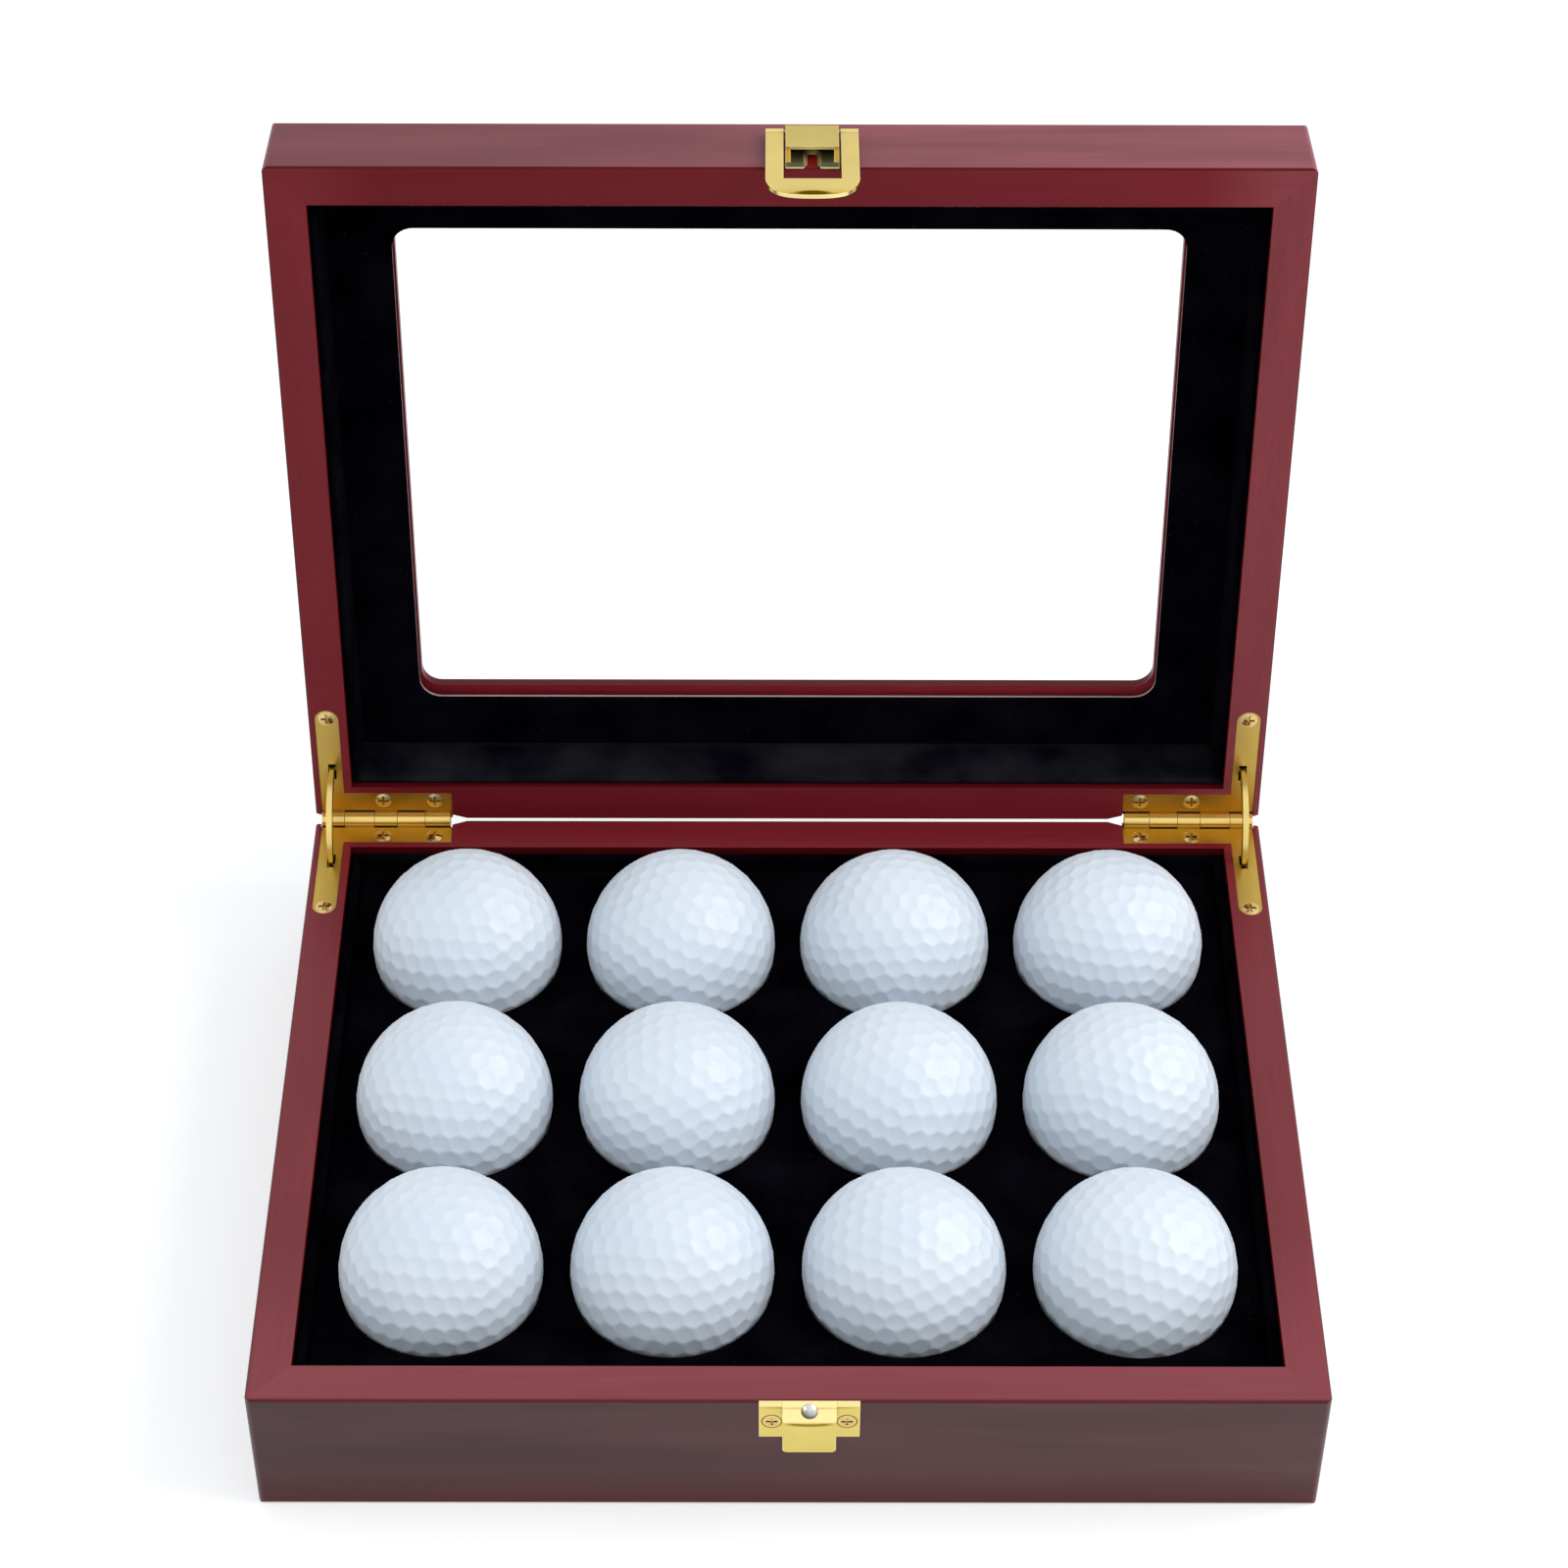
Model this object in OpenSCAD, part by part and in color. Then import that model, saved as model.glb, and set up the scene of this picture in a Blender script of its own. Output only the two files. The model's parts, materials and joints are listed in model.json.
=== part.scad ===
// Hinged wooden display case with a glazed lid and a velvet tray for twelve golf balls.
// Origin: centre of the underside. +X is right, +Y is back, +Z is up. Millimetres.
// The lid is drawn closed and then turned about the hinge pins to its open rest position.

/* [Case] */
// Width of the case, outside
case_w = 219; // [214:0.5:230]
// Depth of the case, outside
case_d = 168; // [164:0.5:178]
// Height of the base, from the underside to its rim
base_h = 34.6; // [34.2:0.1:38]
// Height of the lid, from its rim to its outer face
lid_h = 20.8; // [20.6:0.1:23]
// Thickness of the rails
rail_t = 8.8; // [8.4:0.1:10]
// Gap between the two rims when the lid is closed
rim_gap = 0.4; // [0.3:0.05:0.8]
// Radius of the case's upright corners
corner_r = 1.4; // [0.8:0.1:3]
// Radius of the long edges of the rails
edge_r = 0.8; // [0.4:0.1:1.2]
// Radius of the edges next to the joint between lid and base
joint_edge_r = 0.12; // [0.1:0.02:0.6]
// Angle of the open lid, from closed
open_angle = 97; // [91:1:100]

/* [Panels and glass] */
// Thickness of the bottom panel
bottom_t = 3; // [2:0.1:4]
// Width of the rebate that holds the bottom panel
rebate_w = 4; // [3:0.1:5]
// Thickness of the lid's top panel
top_t = 2.4; // [2:0.1:2.6]
// Thickness of the glass
glass_t = 1.4; // [1:0.1:1.6]
// Thickness of the velvet board that holds the glass
board_t = 1.4; // [1:0.1:2]
// Half the width of the window
window_half_w = 84.8; // [80:0.1:88]
// From the hinge edge of the lid to the near edge of the window
window_from = 25; // [22:0.1:28]
// From the hinge edge of the lid to the far edge of the window
window_to = 146.5; // [142:0.1:148]
// Radius of the window's corners
window_r = 4.5; // [2:0.1:8]
// How much nearer to the hinges the board's opening sits than the window
board_shift = 1.5; // [0:0.1:2]

/* [Lining and tray] */
// Thickness of the base's lining strips
base_lining_t = 2; // [1:0.1:2.4]
// Thickness of the lid's lining strips
lid_lining_t = 1.6; // [0.8:0.1:2.4]
// How far the lining stops below the rim
lining_drop = 1.5; // [0.5:0.1:3]
// Thickness of the foam sheet under the balls
underlay_t = 5.5; // [4:0.1:5.5]

/* [Balls] */
// Radius of a ball
ball_r = 21.335; // [21:0.005:21.5]
// Height of the balls' centres above the underside
ball_z = 30.2; // [30.2:0.05:30.5]
// Distance between columns of balls
column_pitch = 48.3; // [47.5:0.1:49]
// Distance between rows of balls
row_pitch = 47.5; // [47:0.1:48]
// How far the grid of balls sits behind the middle
grid_back = 1.2; // [-1:0.1:1.4]
// How far the tray's face is below the balls' centres
tray_below = 1.3; // [1:0.1:5]
// Radius of the holes in the tray
hole_r = 21.65; // [21.62:0.01:21.9]

/* [Hinges] */
// Thickness of the leaves
leaf_t = 1.1; // [0.8:0.1:1.3]
// Width of a leaf's long arm, on the side rail
arm_w = 5.4; // [4.5:0.1:5.8]
// From the side of the case to the long arm
arm_in = 1.5; // [1:0.1:1.8]
// Length of the long arm, from the back of the case
arm_len = 30.4; // [26:0.1:40]
// Length of the short arm, from the side of the case
short_len = 31.7; // [31.6:0.1:34]
// Width of the short arm, from the back of the case
short_w = 7.15; // [6.6:0.05:7.8]
// How far the leaves lie below the rims
leaf_sink = 0.3; // [0.25:0.05:0.35]
// Radius of the barrel
barrel_r = 2; // [1.8:0.05:2.1]
// Radius of the pin
pin_r = 0.75; // [0.6:0.05:0.8]
// Middle of the stay, from the side of the case
stay_in = 4.6; // [4.2:0.1:4.8]
// Thickness of the stay at its middle
stay_t = 1.3; // [0.8:0.1:1.4]
// Thickness of the stay at its ends
stay_tip_t = 0.6; // [0.5:0.1:0.8]
// Inner radius of the stay's arc
stay_r0 = 11.8; // [11.5:0.1:12.1]
// Outer radius of the stay's arc
stay_r1 = 14.6; // [14.2:0.1:14.8]

/* [Latch] */
// Middle of the latch, right of the middle of the case
latch_x = 4.6; // [4.4:0.05:4.6]
// Middle of the strike, right of the middle of the case
strike_x = 4.25; // [4.2:0.05:4.7]
// Width of the bail
bail_w = 19.4; // [18.5:0.1:21]
// Width of the opening in the bail
bail_open_w = 12; // [12:0.1:12.4]
// Thickness of the bail's sheet
bail_t = 0.8; // [0.7:0.05:0.9]
// Width of the latch plate and its bridge
plate_w = 11.1; // [10.5:0.1:11.2]
// Width over the strike's ears
ears_w = 20.4; // [19.5:0.1:22]
// Width of the strike's tongue
tongue_w = 10.9; // [10.5:0.1:11.1]

/* [Hidden] */
columns = 4;
rows = 3;
ball_names = [for (i = [1 : columns * rows]) str("golf_ball_", i)];

wood = "#6a1d22";
dark_wood = "#54161b";
velvet = "#0b0b10";
foam = "#2a2a2e";
brass = "#d2ab4e";
steel = "#c4c6c8";
clear = "#d8e6ea";
white = "#eef1f4";

$fn = 48;
tiny = 0.05;
cut = 1;

// Hinge line, behind the back face and half way up the gap between the rims.
pin_behind = 0.2;
pin_y = case_d / 2 + pin_behind;
pin_z = base_h + rim_gap / 2;
lid_rim_z = base_h + rim_gap;
inner_w = case_w - 2 * rail_t;
inner_d = case_d - 2 * rail_t;

// Heights inside the lid, from its rim.
glass_h = lid_h - top_t - glass_t;
board_h = glass_h - board_t;

// Play round the glass and the board, and how much larger the board's opening is than the window.
panel_play = 0.2;
board_set_back = 0.4;

// Inner face of a hinge leaf, below the pin.
leaf_face = -rim_gap / 2 - leaf_sink;

// Screws of the hinge leaves: countersunk, with a low dome that stands above the leaf.
screw_head_r = 1.95;
screw_head_h = 0.9;
screw_dome_h = 0.35;
screw_shank_r = 0.9;
screw_len = 8;
screw_tip_r = 0.15;
head_play = 0.03;
pilot_play = 0.05;
dome_edge = 0.05;
// Cross recess: reach and width as shares of the head's radius, and depth below the leaf.
recess_reach = 0.66;
recess_width = 0.3;
recess_depth = 0.4;
// Places of the screws, from the side of the case and from its back.
end_screw_in = 4.2;
end_screw_y = 28.1;
short_screws_in = [15.9, 27.8];
short_screws_y = 4.9;

// Joints between the knuckles, from the side of the case.
knuckle_ends = [arm_in, 6.8, 13.7, 19, 25.5, 31.3];
last = len(knuckle_ends) - 2;
knuckle_play = 0.06;
running_play = 0.05;

// Coves in the rails round the barrel: a small one at the side of the case, a full one along
// the knuckles, and a tapered one where the cutter ran out.
cove_play = 0.3;
end_cove_r = 1.4;
taper_from_r = 1.6;
taper_to_r = 0.3;
taper_len = 3.6;

// The stay turns half as far as the lid. Its ends stay under the leaves.
stay_end_angle = 15.3;
stay_steps = 5;
bead_angle = 10.9;
bead_r = 0.75;
bead_len = 2.4;
slot_y0 = 11.2;
slot_y1 = 15.4;
slot_w = stay_t + 0.5;
mortise_w = 3;
mortise_y0 = 4.9;
mortise_y1 = 15.6;
mortise_depth = 13.6;

// Latch, from the lid's rim (up) and from the front face (outwards).
pivot_up = 13.8;
pivot_out = 1.3;
pivot_r = 0.5;
pivot_short = 0.5;
eye_r = 0.8;
bail_open_low = -7.6;
lip_turn_up = -11.2;
lip_r = 16;
lip_angle = 38;
lip_arc_up = -7.1;
lip_arc_r = 9.75;
bridge_top = 2.8;
bridge_low = 4.5;
sheet_t = 0.7;
toe_t = 0.25;
toe_up = 1.2;
cheek_t = 1;
cheek_lip = 0.6;
notch_w = 2.1;
notch_bevel = 0.75;
notch_top = 7.2;
notch_flare = 0.7;
notch_flare_up = 1.6;
nail_x = 3.3;
nail_up = 10;
nail_r = 0.6;
nail_head_r = 1.1;
nail_head_h = 0.4;
nail_len = 6;

// Strike, from the base's rim (down) and from the front face (outwards).
strike_out = 0.7;
ear_fold_low = 1;
ear_low = 10.8;
tongue_low = 16;
tongue_corner_r = 1;
hook_edge_out = 0.35;
hook_out = 2.3;
hook_t = 0.55;
hook_fold_low = 4.1;
hook_low = 4.6;
hook_arc_r = 25;
hook_slope = (hook_out - hook_edge_out) / hook_fold_low;
ear_screw_x = 7.6;
ear_screw_low = 5.8;
ear_screw_r = 1.8;
ear_screw_shank_r = 0.75;
ear_screw_len = 7;
ear_screw_head_h = 0.5;
ear_screw_dome_h = 0.1;
dome_low = 1.9;
dome_r = 1.7;
dome_ball_r = 1.95;
dome_sink = 0.9;
dome_shank_r = 0.7;
dome_len = 6;

// Turns the closed lid, with all that is on it, to its open rest position.
module opened() {
    translate([0, pin_y, pin_z])
        rotate([-open_angle, 0, 0])
            translate([0, -pin_y, -pin_z])
                children();
}

module rounded_rectangle(w, h, r) {
    square([w - 2 * r, h], center = true);
    square([w, h - 2 * r], center = true);
    for (x = [-1, 1], y = [-1, 1])
        translate([x * (w / 2 - r), y * (h / 2 - r)]) circle(r);
}

// A rectangle from 0,0 whose four corners have their own radii, anticlockwise from 0,0.
module section(w, h, radii) {
    corners = [[0, 0], [w, 0], [w, h], [0, h]];
    inward = [[1, 1], [-1, 1], [-1, -1], [1, -1]];
    difference() {
        square([w, h]);
        for (i = [0 : 3])
            if (radii[i] > 0)
                difference() {
                    translate(corners[i] - tiny * inward[i])
                        mirror([inward[i][0] < 0 ? 1 : 0, 0])
                            mirror([0, inward[i][1] < 0 ? 1 : 0])
                                square(radii[i] + tiny);
                    translate(corners[i] + radii[i] * inward[i]) circle(radii[i]);
                }
    }
}

// A mitred rail along X. Its outer face is at y = 0 and it grows inwards, towards +Y.
module mitred_bar(len, h, radii) {
    intersection() {
        translate([-len / 2, 0, 0])
            rotate([90, 0, 90])
                linear_extrude(len) section(rail_t, h, radii);
        linear_extrude(h)
            polygon([[-len / 2, 0], [len / 2, 0], [len / 2 - rail_t, rail_t], [-len / 2 + rail_t, rail_t]]);
    }
}

module front_place() { translate([0, -case_d / 2, 0]) children(); }
module back_place() { translate([0, case_d / 2, 0]) rotate([0, 0, 180]) children(); }
module left_place() { translate([-case_w / 2, 0, 0]) rotate([0, 0, -90]) children(); }
module right_place() { translate([case_w / 2, 0, 0]) rotate([0, 0, 90]) children(); }

module case_outline(h) {
    linear_extrude(h) rounded_rectangle(case_w, case_d, corner_r);
}

// Base rails: section corners run from the outer bottom, inner bottom, inner top, outer top.
base_radii = [edge_r, 0, joint_edge_r, edge_r];
lid_radii = [edge_r, joint_edge_r, 0, 0];
base_back_radii = [edge_r, 0, joint_edge_r, joint_edge_r];
lid_back_radii = [joint_edge_r, joint_edge_r, 0, 0];

module base_rail(len, radii) {
    difference() {
        mitred_bar(len, base_h, radii);
        translate([-len, rail_t - rebate_w, -cut]) cube([2 * len, rebate_w + cut, bottom_t + cut]);
    }
}

module lid_rail(len, radii) {
    translate([0, 0, lid_rim_z]) mitred_bar(len, lid_h - top_t, radii);
}

// Places a hinge part: x from the side of the case inwards, y from the pin forwards,
// z above the pin. Side is -1 for the left hinge and 1 for the right.
module hinge_place(side) {
    mirror([side > 0 ? 1 : 0, 0, 0])
        translate([-case_w / 2, pin_y, pin_z])
            mirror([0, 1, 0])
                children();
}

module leaf_outline(play) {
    back = pin_behind;
    arm_end = arm_len + back - arm_w / 2;
    translate([arm_in - play, 0]) square([arm_w + 2 * play, arm_end]);
    translate([arm_in + arm_w / 2, arm_end]) circle(arm_w / 2 + play);
    translate([arm_in - play, 0]) square([short_len - arm_in + 2 * play, short_w + back + play]);
}

module at_leaf_screws() {
    translate([end_screw_in, end_screw_y + pin_behind, 0]) children();
    for (x = short_screws_in) translate([x, short_screws_y + pin_behind, 0]) children();
}

// Every second knuckle belongs to the same leaf: numbers 1, 3 and 5 from the side, or 2 and 4.
function belongs(i, odd) = (i % 2 == 0) == odd;
function knuckle_len(i) = knuckle_ends[i + 1] - knuckle_ends[i] - 2 * knuckle_play;

// A leaf with its knuckles, seen as the lower one. The upper leaf is its mirror image.
module leaf(odd, bore_r) {
    reach = barrel_r + cove_play;
    difference() {
        union() {
            translate([0, 0, leaf_face - leaf_t]) linear_extrude(leaf_t) leaf_outline(0);
            for (i = [0 : last])
                if (belongs(i, odd))
                    translate([knuckle_ends[i] + knuckle_play, 0, 0])
                        rotate([0, 90, 0])
                            cylinder(r = barrel_r, h = knuckle_len(i));
        }
        translate([-cut, 0, 0]) rotate([0, 90, 0]) cylinder(r = bore_r, h = short_len + 2 * cut);
        // room for the other leaf's knuckles
        for (i = [0 : last])
            if (!belongs(i, odd)) {
                from = knuckle_ends[i] - knuckle_play;
                to = i == last ? short_len + cut : knuckle_ends[i + 1] + knuckle_play;
                translate([from, -reach, -reach]) cube([to - from, 2 * reach, 2 * reach]);
            }
        translate([stay_in - slot_w / 2, slot_y0, leaf_face - leaf_t - cut])
            cube([slot_w, slot_y1 - slot_y0, leaf_t + 2 * cut]);
        at_leaf_screws() {
            translate([0, 0, leaf_face - screw_head_h])
                cylinder(r1 = screw_shank_r + pilot_play, r2 = screw_head_r, h = screw_head_h);
            translate([0, 0, leaf_face - leaf_t - cut])
                cylinder(r = screw_shank_r + pilot_play, h = leaf_t + 2 * cut);
        }
    }
}

// What the lower hinge takes out of the rails: leaf pocket, barrel coves, stay mortise, pilots.
module hinge_cuts() {
    cove_from = arm_in - cove_play;
    cove_to = knuckle_ends[last + 1] + cove_play;
    translate([0, 0, leaf_face - leaf_t]) linear_extrude(leaf_t + leaf_sink + cut) leaf_outline(tiny);
    rotate([0, 90, 0]) {
        translate([0, 0, -cut]) cylinder(r = end_cove_r, h = cove_from + cut + tiny);
        translate([0, 0, cove_from]) cylinder(r = barrel_r + cove_play, h = cove_to - cove_from);
        translate([0, 0, cove_to - tiny]) cylinder(r1 = taper_from_r, r2 = taper_to_r, h = taper_len);
    }
    translate([stay_in - mortise_w / 2, mortise_y0, -rim_gap / 2 - mortise_depth])
        cube([mortise_w, mortise_y1 - mortise_y0, mortise_depth + cut]);
    at_leaf_screws()
        translate([0, 0, leaf_face - screw_len - pilot_play])
            cylinder(r = screw_shank_r + pilot_play, h = screw_len + cut);
}

module upside_down() { mirror([0, 0, 1]) children(); }

// A countersunk screw whose head meets the leaf at z = 0, with a low dome and a cross recess.
module wood_screw(head_r, head_h, dome_h, shank_r, len) {
    rim_r = head_r - head_play;
    foot_r = rim_r - dome_edge;
    curve_r = (foot_r * foot_r + dome_h * dome_h) / (2 * dome_h);
    reach = recess_reach * head_r;
    width = recess_width * head_r;
    difference() {
        union() {
            intersection() {
                translate([0, 0, dome_h - curve_r]) sphere(curve_r);
                translate([0, 0, -tiny]) cylinder(r = foot_r - dome_edge, h = dome_h + cut);
            }
            translate([0, 0, -head_h]) cylinder(r1 = shank_r, r2 = rim_r, h = head_h);
            translate([0, 0, -len + shank_r]) cylinder(r = shank_r, h = len - shank_r - head_h + tiny);
            translate([0, 0, -len]) cylinder(r1 = screw_tip_r, r2 = shank_r, h = shank_r);
        }
        for (a = [0, 90])
            rotate([0, 0, a])
                translate([-reach, -width / 2, -recess_depth])
                    cube([2 * reach, width, recess_depth + dome_h + cut]);
    }
}

// Places a latch part: x from its middle, y above the rim, z outwards from the front face.
module face_place(x, rim_z) {
    translate([x, -case_d / 2, rim_z]) rotate([90, 0, 0]) children();
}
module latch_place() { face_place(latch_x, lid_rim_z) children(); }
module strike_place() { face_place(strike_x, base_h) children(); }

// Draws a side profile given as height above the rim and distance from the face, w wide.
module across(w) {
    translate([-w / 2, 0, 0]) rotate([90, 0, 90]) linear_extrude(w) children();
}

module base_front_rail() {
    color(wood)
        difference() {
            intersection() {
                front_place() base_rail(case_w, base_radii);
                case_outline(base_h);
            }
            strike_place() {
                for (x = [-1, 1])
                    translate([x * ear_screw_x, -ear_screw_low, -ear_screw_len - pilot_play])
                        cylinder(r = ear_screw_shank_r + pilot_play, h = ear_screw_len + cut);
                translate([0, -dome_low, -dome_len - pilot_play])
                    cylinder(r = dome_shank_r + pilot_play, h = dome_len + cut);
            }
        }
}

module base_back_rail() {
    color(dark_wood)
        difference() {
            intersection() {
                back_place() base_rail(case_w, base_back_radii);
                case_outline(base_h);
            }
            for (side = [-1, 1]) hinge_place(side) hinge_cuts();
        }
}

module base_left_rail() {
    color(wood)
        difference() {
            intersection() {
                left_place() base_rail(case_d, base_radii);
                case_outline(base_h);
            }
            hinge_place(-1) hinge_cuts();
        }
}

module base_right_rail() {
    color(wood)
        difference() {
            intersection() {
                right_place() base_rail(case_d, base_radii);
                case_outline(base_h);
            }
            hinge_place(1) hinge_cuts();
        }
}

module base_bottom_panel() {
    w = inner_w + 2 * rebate_w - 2 * tiny;
    d = inner_d + 2 * rebate_w - 2 * tiny;
    color(dark_wood)
        linear_extrude(bottom_t - tiny) square([w, d], center = true);
}

// A lining strip along X between the walls, against the front wall.
module lining(len, from_z, h, t) {
    translate([-len / 2, rail_t + tiny, from_z]) cube([len, t, h]);
}

long_lining = inner_w - 2 * tiny;
base_side_lining = inner_d - 2 * base_lining_t - 4 * tiny;
module base_lining(len) {
    lining(len, bottom_t, base_h - bottom_t - lining_drop, base_lining_t);
}
module base_front_lining() { color(velvet) front_place() base_lining(long_lining); }
module base_back_lining() { color(velvet) back_place() base_lining(long_lining); }
module base_left_lining() { color(velvet) left_place() base_lining(base_side_lining); }
module base_right_lining() { color(velvet) right_place() base_lining(base_side_lining); }

tray_play = 0.25;
tray_w = inner_w - 2 * (base_lining_t + tiny + tray_play);
tray_d = inner_d - 2 * (base_lining_t + tiny + tray_play);
tray_top = ball_z - tray_below;
underlay_top = bottom_t + underlay_t;

function ball_xy(i) = [
    ((i % columns) - (columns - 1) / 2) * column_pitch,
    grid_back + ((rows - 1) / 2 - floor(i / columns)) * row_pitch
];

module ball_tray() {
    color(velvet)
        translate([0, 0, underlay_top])
            linear_extrude(tray_top - underlay_top)
                difference() {
                    square([tray_w, tray_d], center = true);
                    for (i = [0 : columns * rows - 1]) translate(ball_xy(i)) circle(hole_r, $fn = 96);
                }
}

module tray_underlay() {
    color(foam)
        translate([0, 0, bottom_t])
            linear_extrude(underlay_t) square([tray_w, tray_d], center = true);
}

module golf_ball(i) {
    color(white)
        translate([ball_xy(i)[0], ball_xy(i)[1], ball_z])
            sphere(ball_r, $fn = 64);
}

module strike_ears() {
    across(ears_w)
        polygon([[0, 0], [-ear_fold_low, strike_out], [-ear_low, strike_out], [-ear_low, 0]]);
}

module strike_tongue() {
    linear_extrude(strike_out)
        difference() {
            translate([0, -tongue_low / 2]) rounded_rectangle(tongue_w, tongue_low, tongue_corner_r);
            translate([-tongue_w, -ear_fold_low]) square([2 * tongue_w, tongue_low]);
        }
}

// The hook: a sheet that leaves the plate near the rim, over an open wedge. Its free edge is bowed.
module strike_hook() {
    inside = hook_t * sqrt(1 + hook_slope * hook_slope);
    wedge_low = (strike_out - hook_edge_out + inside) / hook_slope;
    intersection() {
        across(tongue_w)
            polygon([[0, 0], [0, hook_edge_out], [-hook_fold_low, hook_out], [-hook_low, hook_out],
                     [-hook_low, hook_out - inside], [-hook_fold_low, hook_out - inside],
                     [-wedge_low, strike_out], [-wedge_low, 0]]);
        linear_extrude(2 * hook_out) translate([0, hook_arc_r - hook_low]) circle(hook_arc_r, $fn = 96);
    }
}

module strike_plate() {
    hole_r = ear_screw_shank_r + pilot_play;
    color(brass)
        strike_place()
            difference() {
                union() {
                    strike_ears();
                    strike_tongue();
                    strike_hook();
                }
                for (x = [-1, 1])
                    translate([x * ear_screw_x, -ear_screw_low, 0]) {
                        translate([0, 0, -cut]) cylinder(r = hole_r, h = strike_out + 2 * cut);
                        translate([0, 0, strike_out - ear_screw_head_h])
                            cylinder(r1 = hole_r, r2 = ear_screw_r, h = ear_screw_head_h);
                    }
                translate([0, -dome_low, -cut]) cylinder(r = dome_shank_r + pilot_play, h = 2 * hook_out);
            }
}

module strike_screws() {
    color(brass)
        strike_place()
            for (x = [-1, 1])
                translate([x * ear_screw_x, -ear_screw_low, strike_out])
                    wood_screw(ear_screw_r, ear_screw_head_h, ear_screw_dome_h,
                               ear_screw_shank_r, ear_screw_len);
}

module strike_pin() {
    slope_out = hook_edge_out + hook_slope * dome_low;
    color(steel)
        strike_place()
            translate([0, -dome_low, 0]) {
                translate([0, 0, -dome_len]) cylinder(r = dome_shank_r, h = dome_len + slope_out);
                translate([0, 0, slope_out])
                    rotate([-atan(hook_slope), 0, 0])
                        intersection() {
                            translate([0, 0, -dome_sink]) sphere(dome_ball_r);
                            translate([0, 0, tiny]) cylinder(r = dome_r, h = dome_ball_r);
                        }
            }
}

// The two hinges are alike and one is turned over, so their knuckles alternate the other way.
module left_lower_leaf() { color(brass) hinge_place(-1) leaf(false, pin_r); }
module right_lower_leaf() { color(brass) hinge_place(1) leaf(true, pin_r); }
module left_upper_leaf() {
    color(brass) opened() hinge_place(-1) upside_down() leaf(true, pin_r + running_play);
}
module right_upper_leaf() {
    color(brass) opened() hinge_place(1) upside_down() leaf(false, pin_r + running_play);
}

module hinge_pin(side) {
    hinge_place(side)
        translate([knuckle_ends[0], 0, 0])
            rotate([0, 90, 0]) cylinder(r = pin_r, h = knuckle_ends[last + 1] - knuckle_ends[0]);
}
module left_hinge_pin() { color(brass) hinge_pin(-1); }
module right_hinge_pin() { color(brass) hinge_pin(1); }

module leaf_screws() {
    translate([0, 0, leaf_face])
        at_leaf_screws() wood_screw(screw_head_r, screw_head_h, screw_dome_h, screw_shank_r, screw_len);
}
module lower_leaf_screws() {
    color(brass) for (side = [-1, 1]) hinge_place(side) leaf_screws();
}
module upper_leaf_screws() {
    color(brass) opened() for (side = [-1, 1]) hinge_place(side) upside_down() leaf_screws();
}

// Hinge cuts in the lid's rails, drawn with the lid closed.
module lid_hinge_cuts() {
    for (s = [-1, 1]) hinge_place(s) upside_down() hinge_cuts();
}

module lid_outline() {
    translate([0, 0, lid_rim_z]) case_outline(lid_h - top_t);
}

module lid_front_rail() {
    color(wood) opened()
        difference() {
            intersection() {
                front_place() lid_rail(case_w, lid_radii);
                lid_outline();
            }
            latch_place()
                for (x = [-1, 1])
                    translate([x * nail_x, nail_up, sheet_t - nail_len - pilot_play])
                        cylinder(r = nail_r + pilot_play, h = nail_len + cut);
        }
}

module lid_back_rail() {
    color(dark_wood) opened()
        difference() {
            intersection() {
                back_place() lid_rail(case_w, lid_back_radii);
                lid_outline();
            }
            lid_hinge_cuts();
        }
}

module lid_left_rail() {
    color(wood) opened()
        difference() {
            intersection() {
                left_place() lid_rail(case_d, lid_radii);
                lid_outline();
            }
            lid_hinge_cuts();
        }
}

module lid_right_rail() {
    color(wood) opened()
        difference() {
            intersection() {
                right_place() lid_rail(case_d, lid_radii);
                lid_outline();
            }
            lid_hinge_cuts();
        }
}

window_w = 2 * window_half_w;
window_d = window_to - window_from;
window_y = case_d / 2 - (window_from + window_to) / 2;

module window_hole(grow) {
    translate([0, window_y])
        rounded_rectangle(window_w + 2 * grow, window_d + 2 * grow, window_r + grow);
}

// The top panel: its outer edge is rounded over by a stack of two outlines.
module lid_top_panel() {
    color(wood) opened()
        translate([0, 0, lid_rim_z + lid_h - top_t])
            difference() {
                intersection() {
                    case_outline(top_t);
                    across_edges(case_w, case_d);
                    rotate([0, 0, 90]) across_edges(case_d, case_w);
                }
                translate([0, 0, -cut]) linear_extrude(top_t + 2 * cut) window_hole(0);
            }
}

// A slab whose two long top edges are rounded: len along X, width w along Y.
module across_edges(len, w) {
    translate([-len / 2 - cut, -w / 2, 0])
        rotate([90, 0, 90])
            linear_extrude(len + 2 * cut)
                section(w, top_t, [0, 0, edge_r, edge_r]);
}

module window_glass() {
    color(clear, 0.35) opened()
        translate([0, 0, lid_rim_z + glass_h + tiny / 2])
            linear_extrude(glass_t - tiny)
                square([inner_w - 2 * panel_play, inner_d - 2 * panel_play], center = true);
}

module lid_velvet_board() {
    color(velvet) opened()
        translate([0, 0, lid_rim_z + board_h])
            linear_extrude(board_t)
                difference() {
                    square([inner_w - 2 * panel_play, inner_d - 2 * panel_play], center = true);
                    translate([0, board_shift]) window_hole(board_set_back);
                }
}

lid_side_lining = inner_d - 2 * lid_lining_t - 4 * tiny;
module lid_lining(len) {
    lining(len, lid_rim_z + lining_drop, board_h - lining_drop - tiny, lid_lining_t);
}
module lid_front_lining() { color(velvet) opened() front_place() lid_lining(long_lining); }
module lid_back_lining() { color(velvet) opened() back_place() lid_lining(long_lining); }
module lid_left_lining() { color(velvet) opened() left_place() lid_lining(lid_side_lining); }
module lid_right_lining() { color(velvet) opened() right_place() lid_lining(lid_side_lining); }

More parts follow.
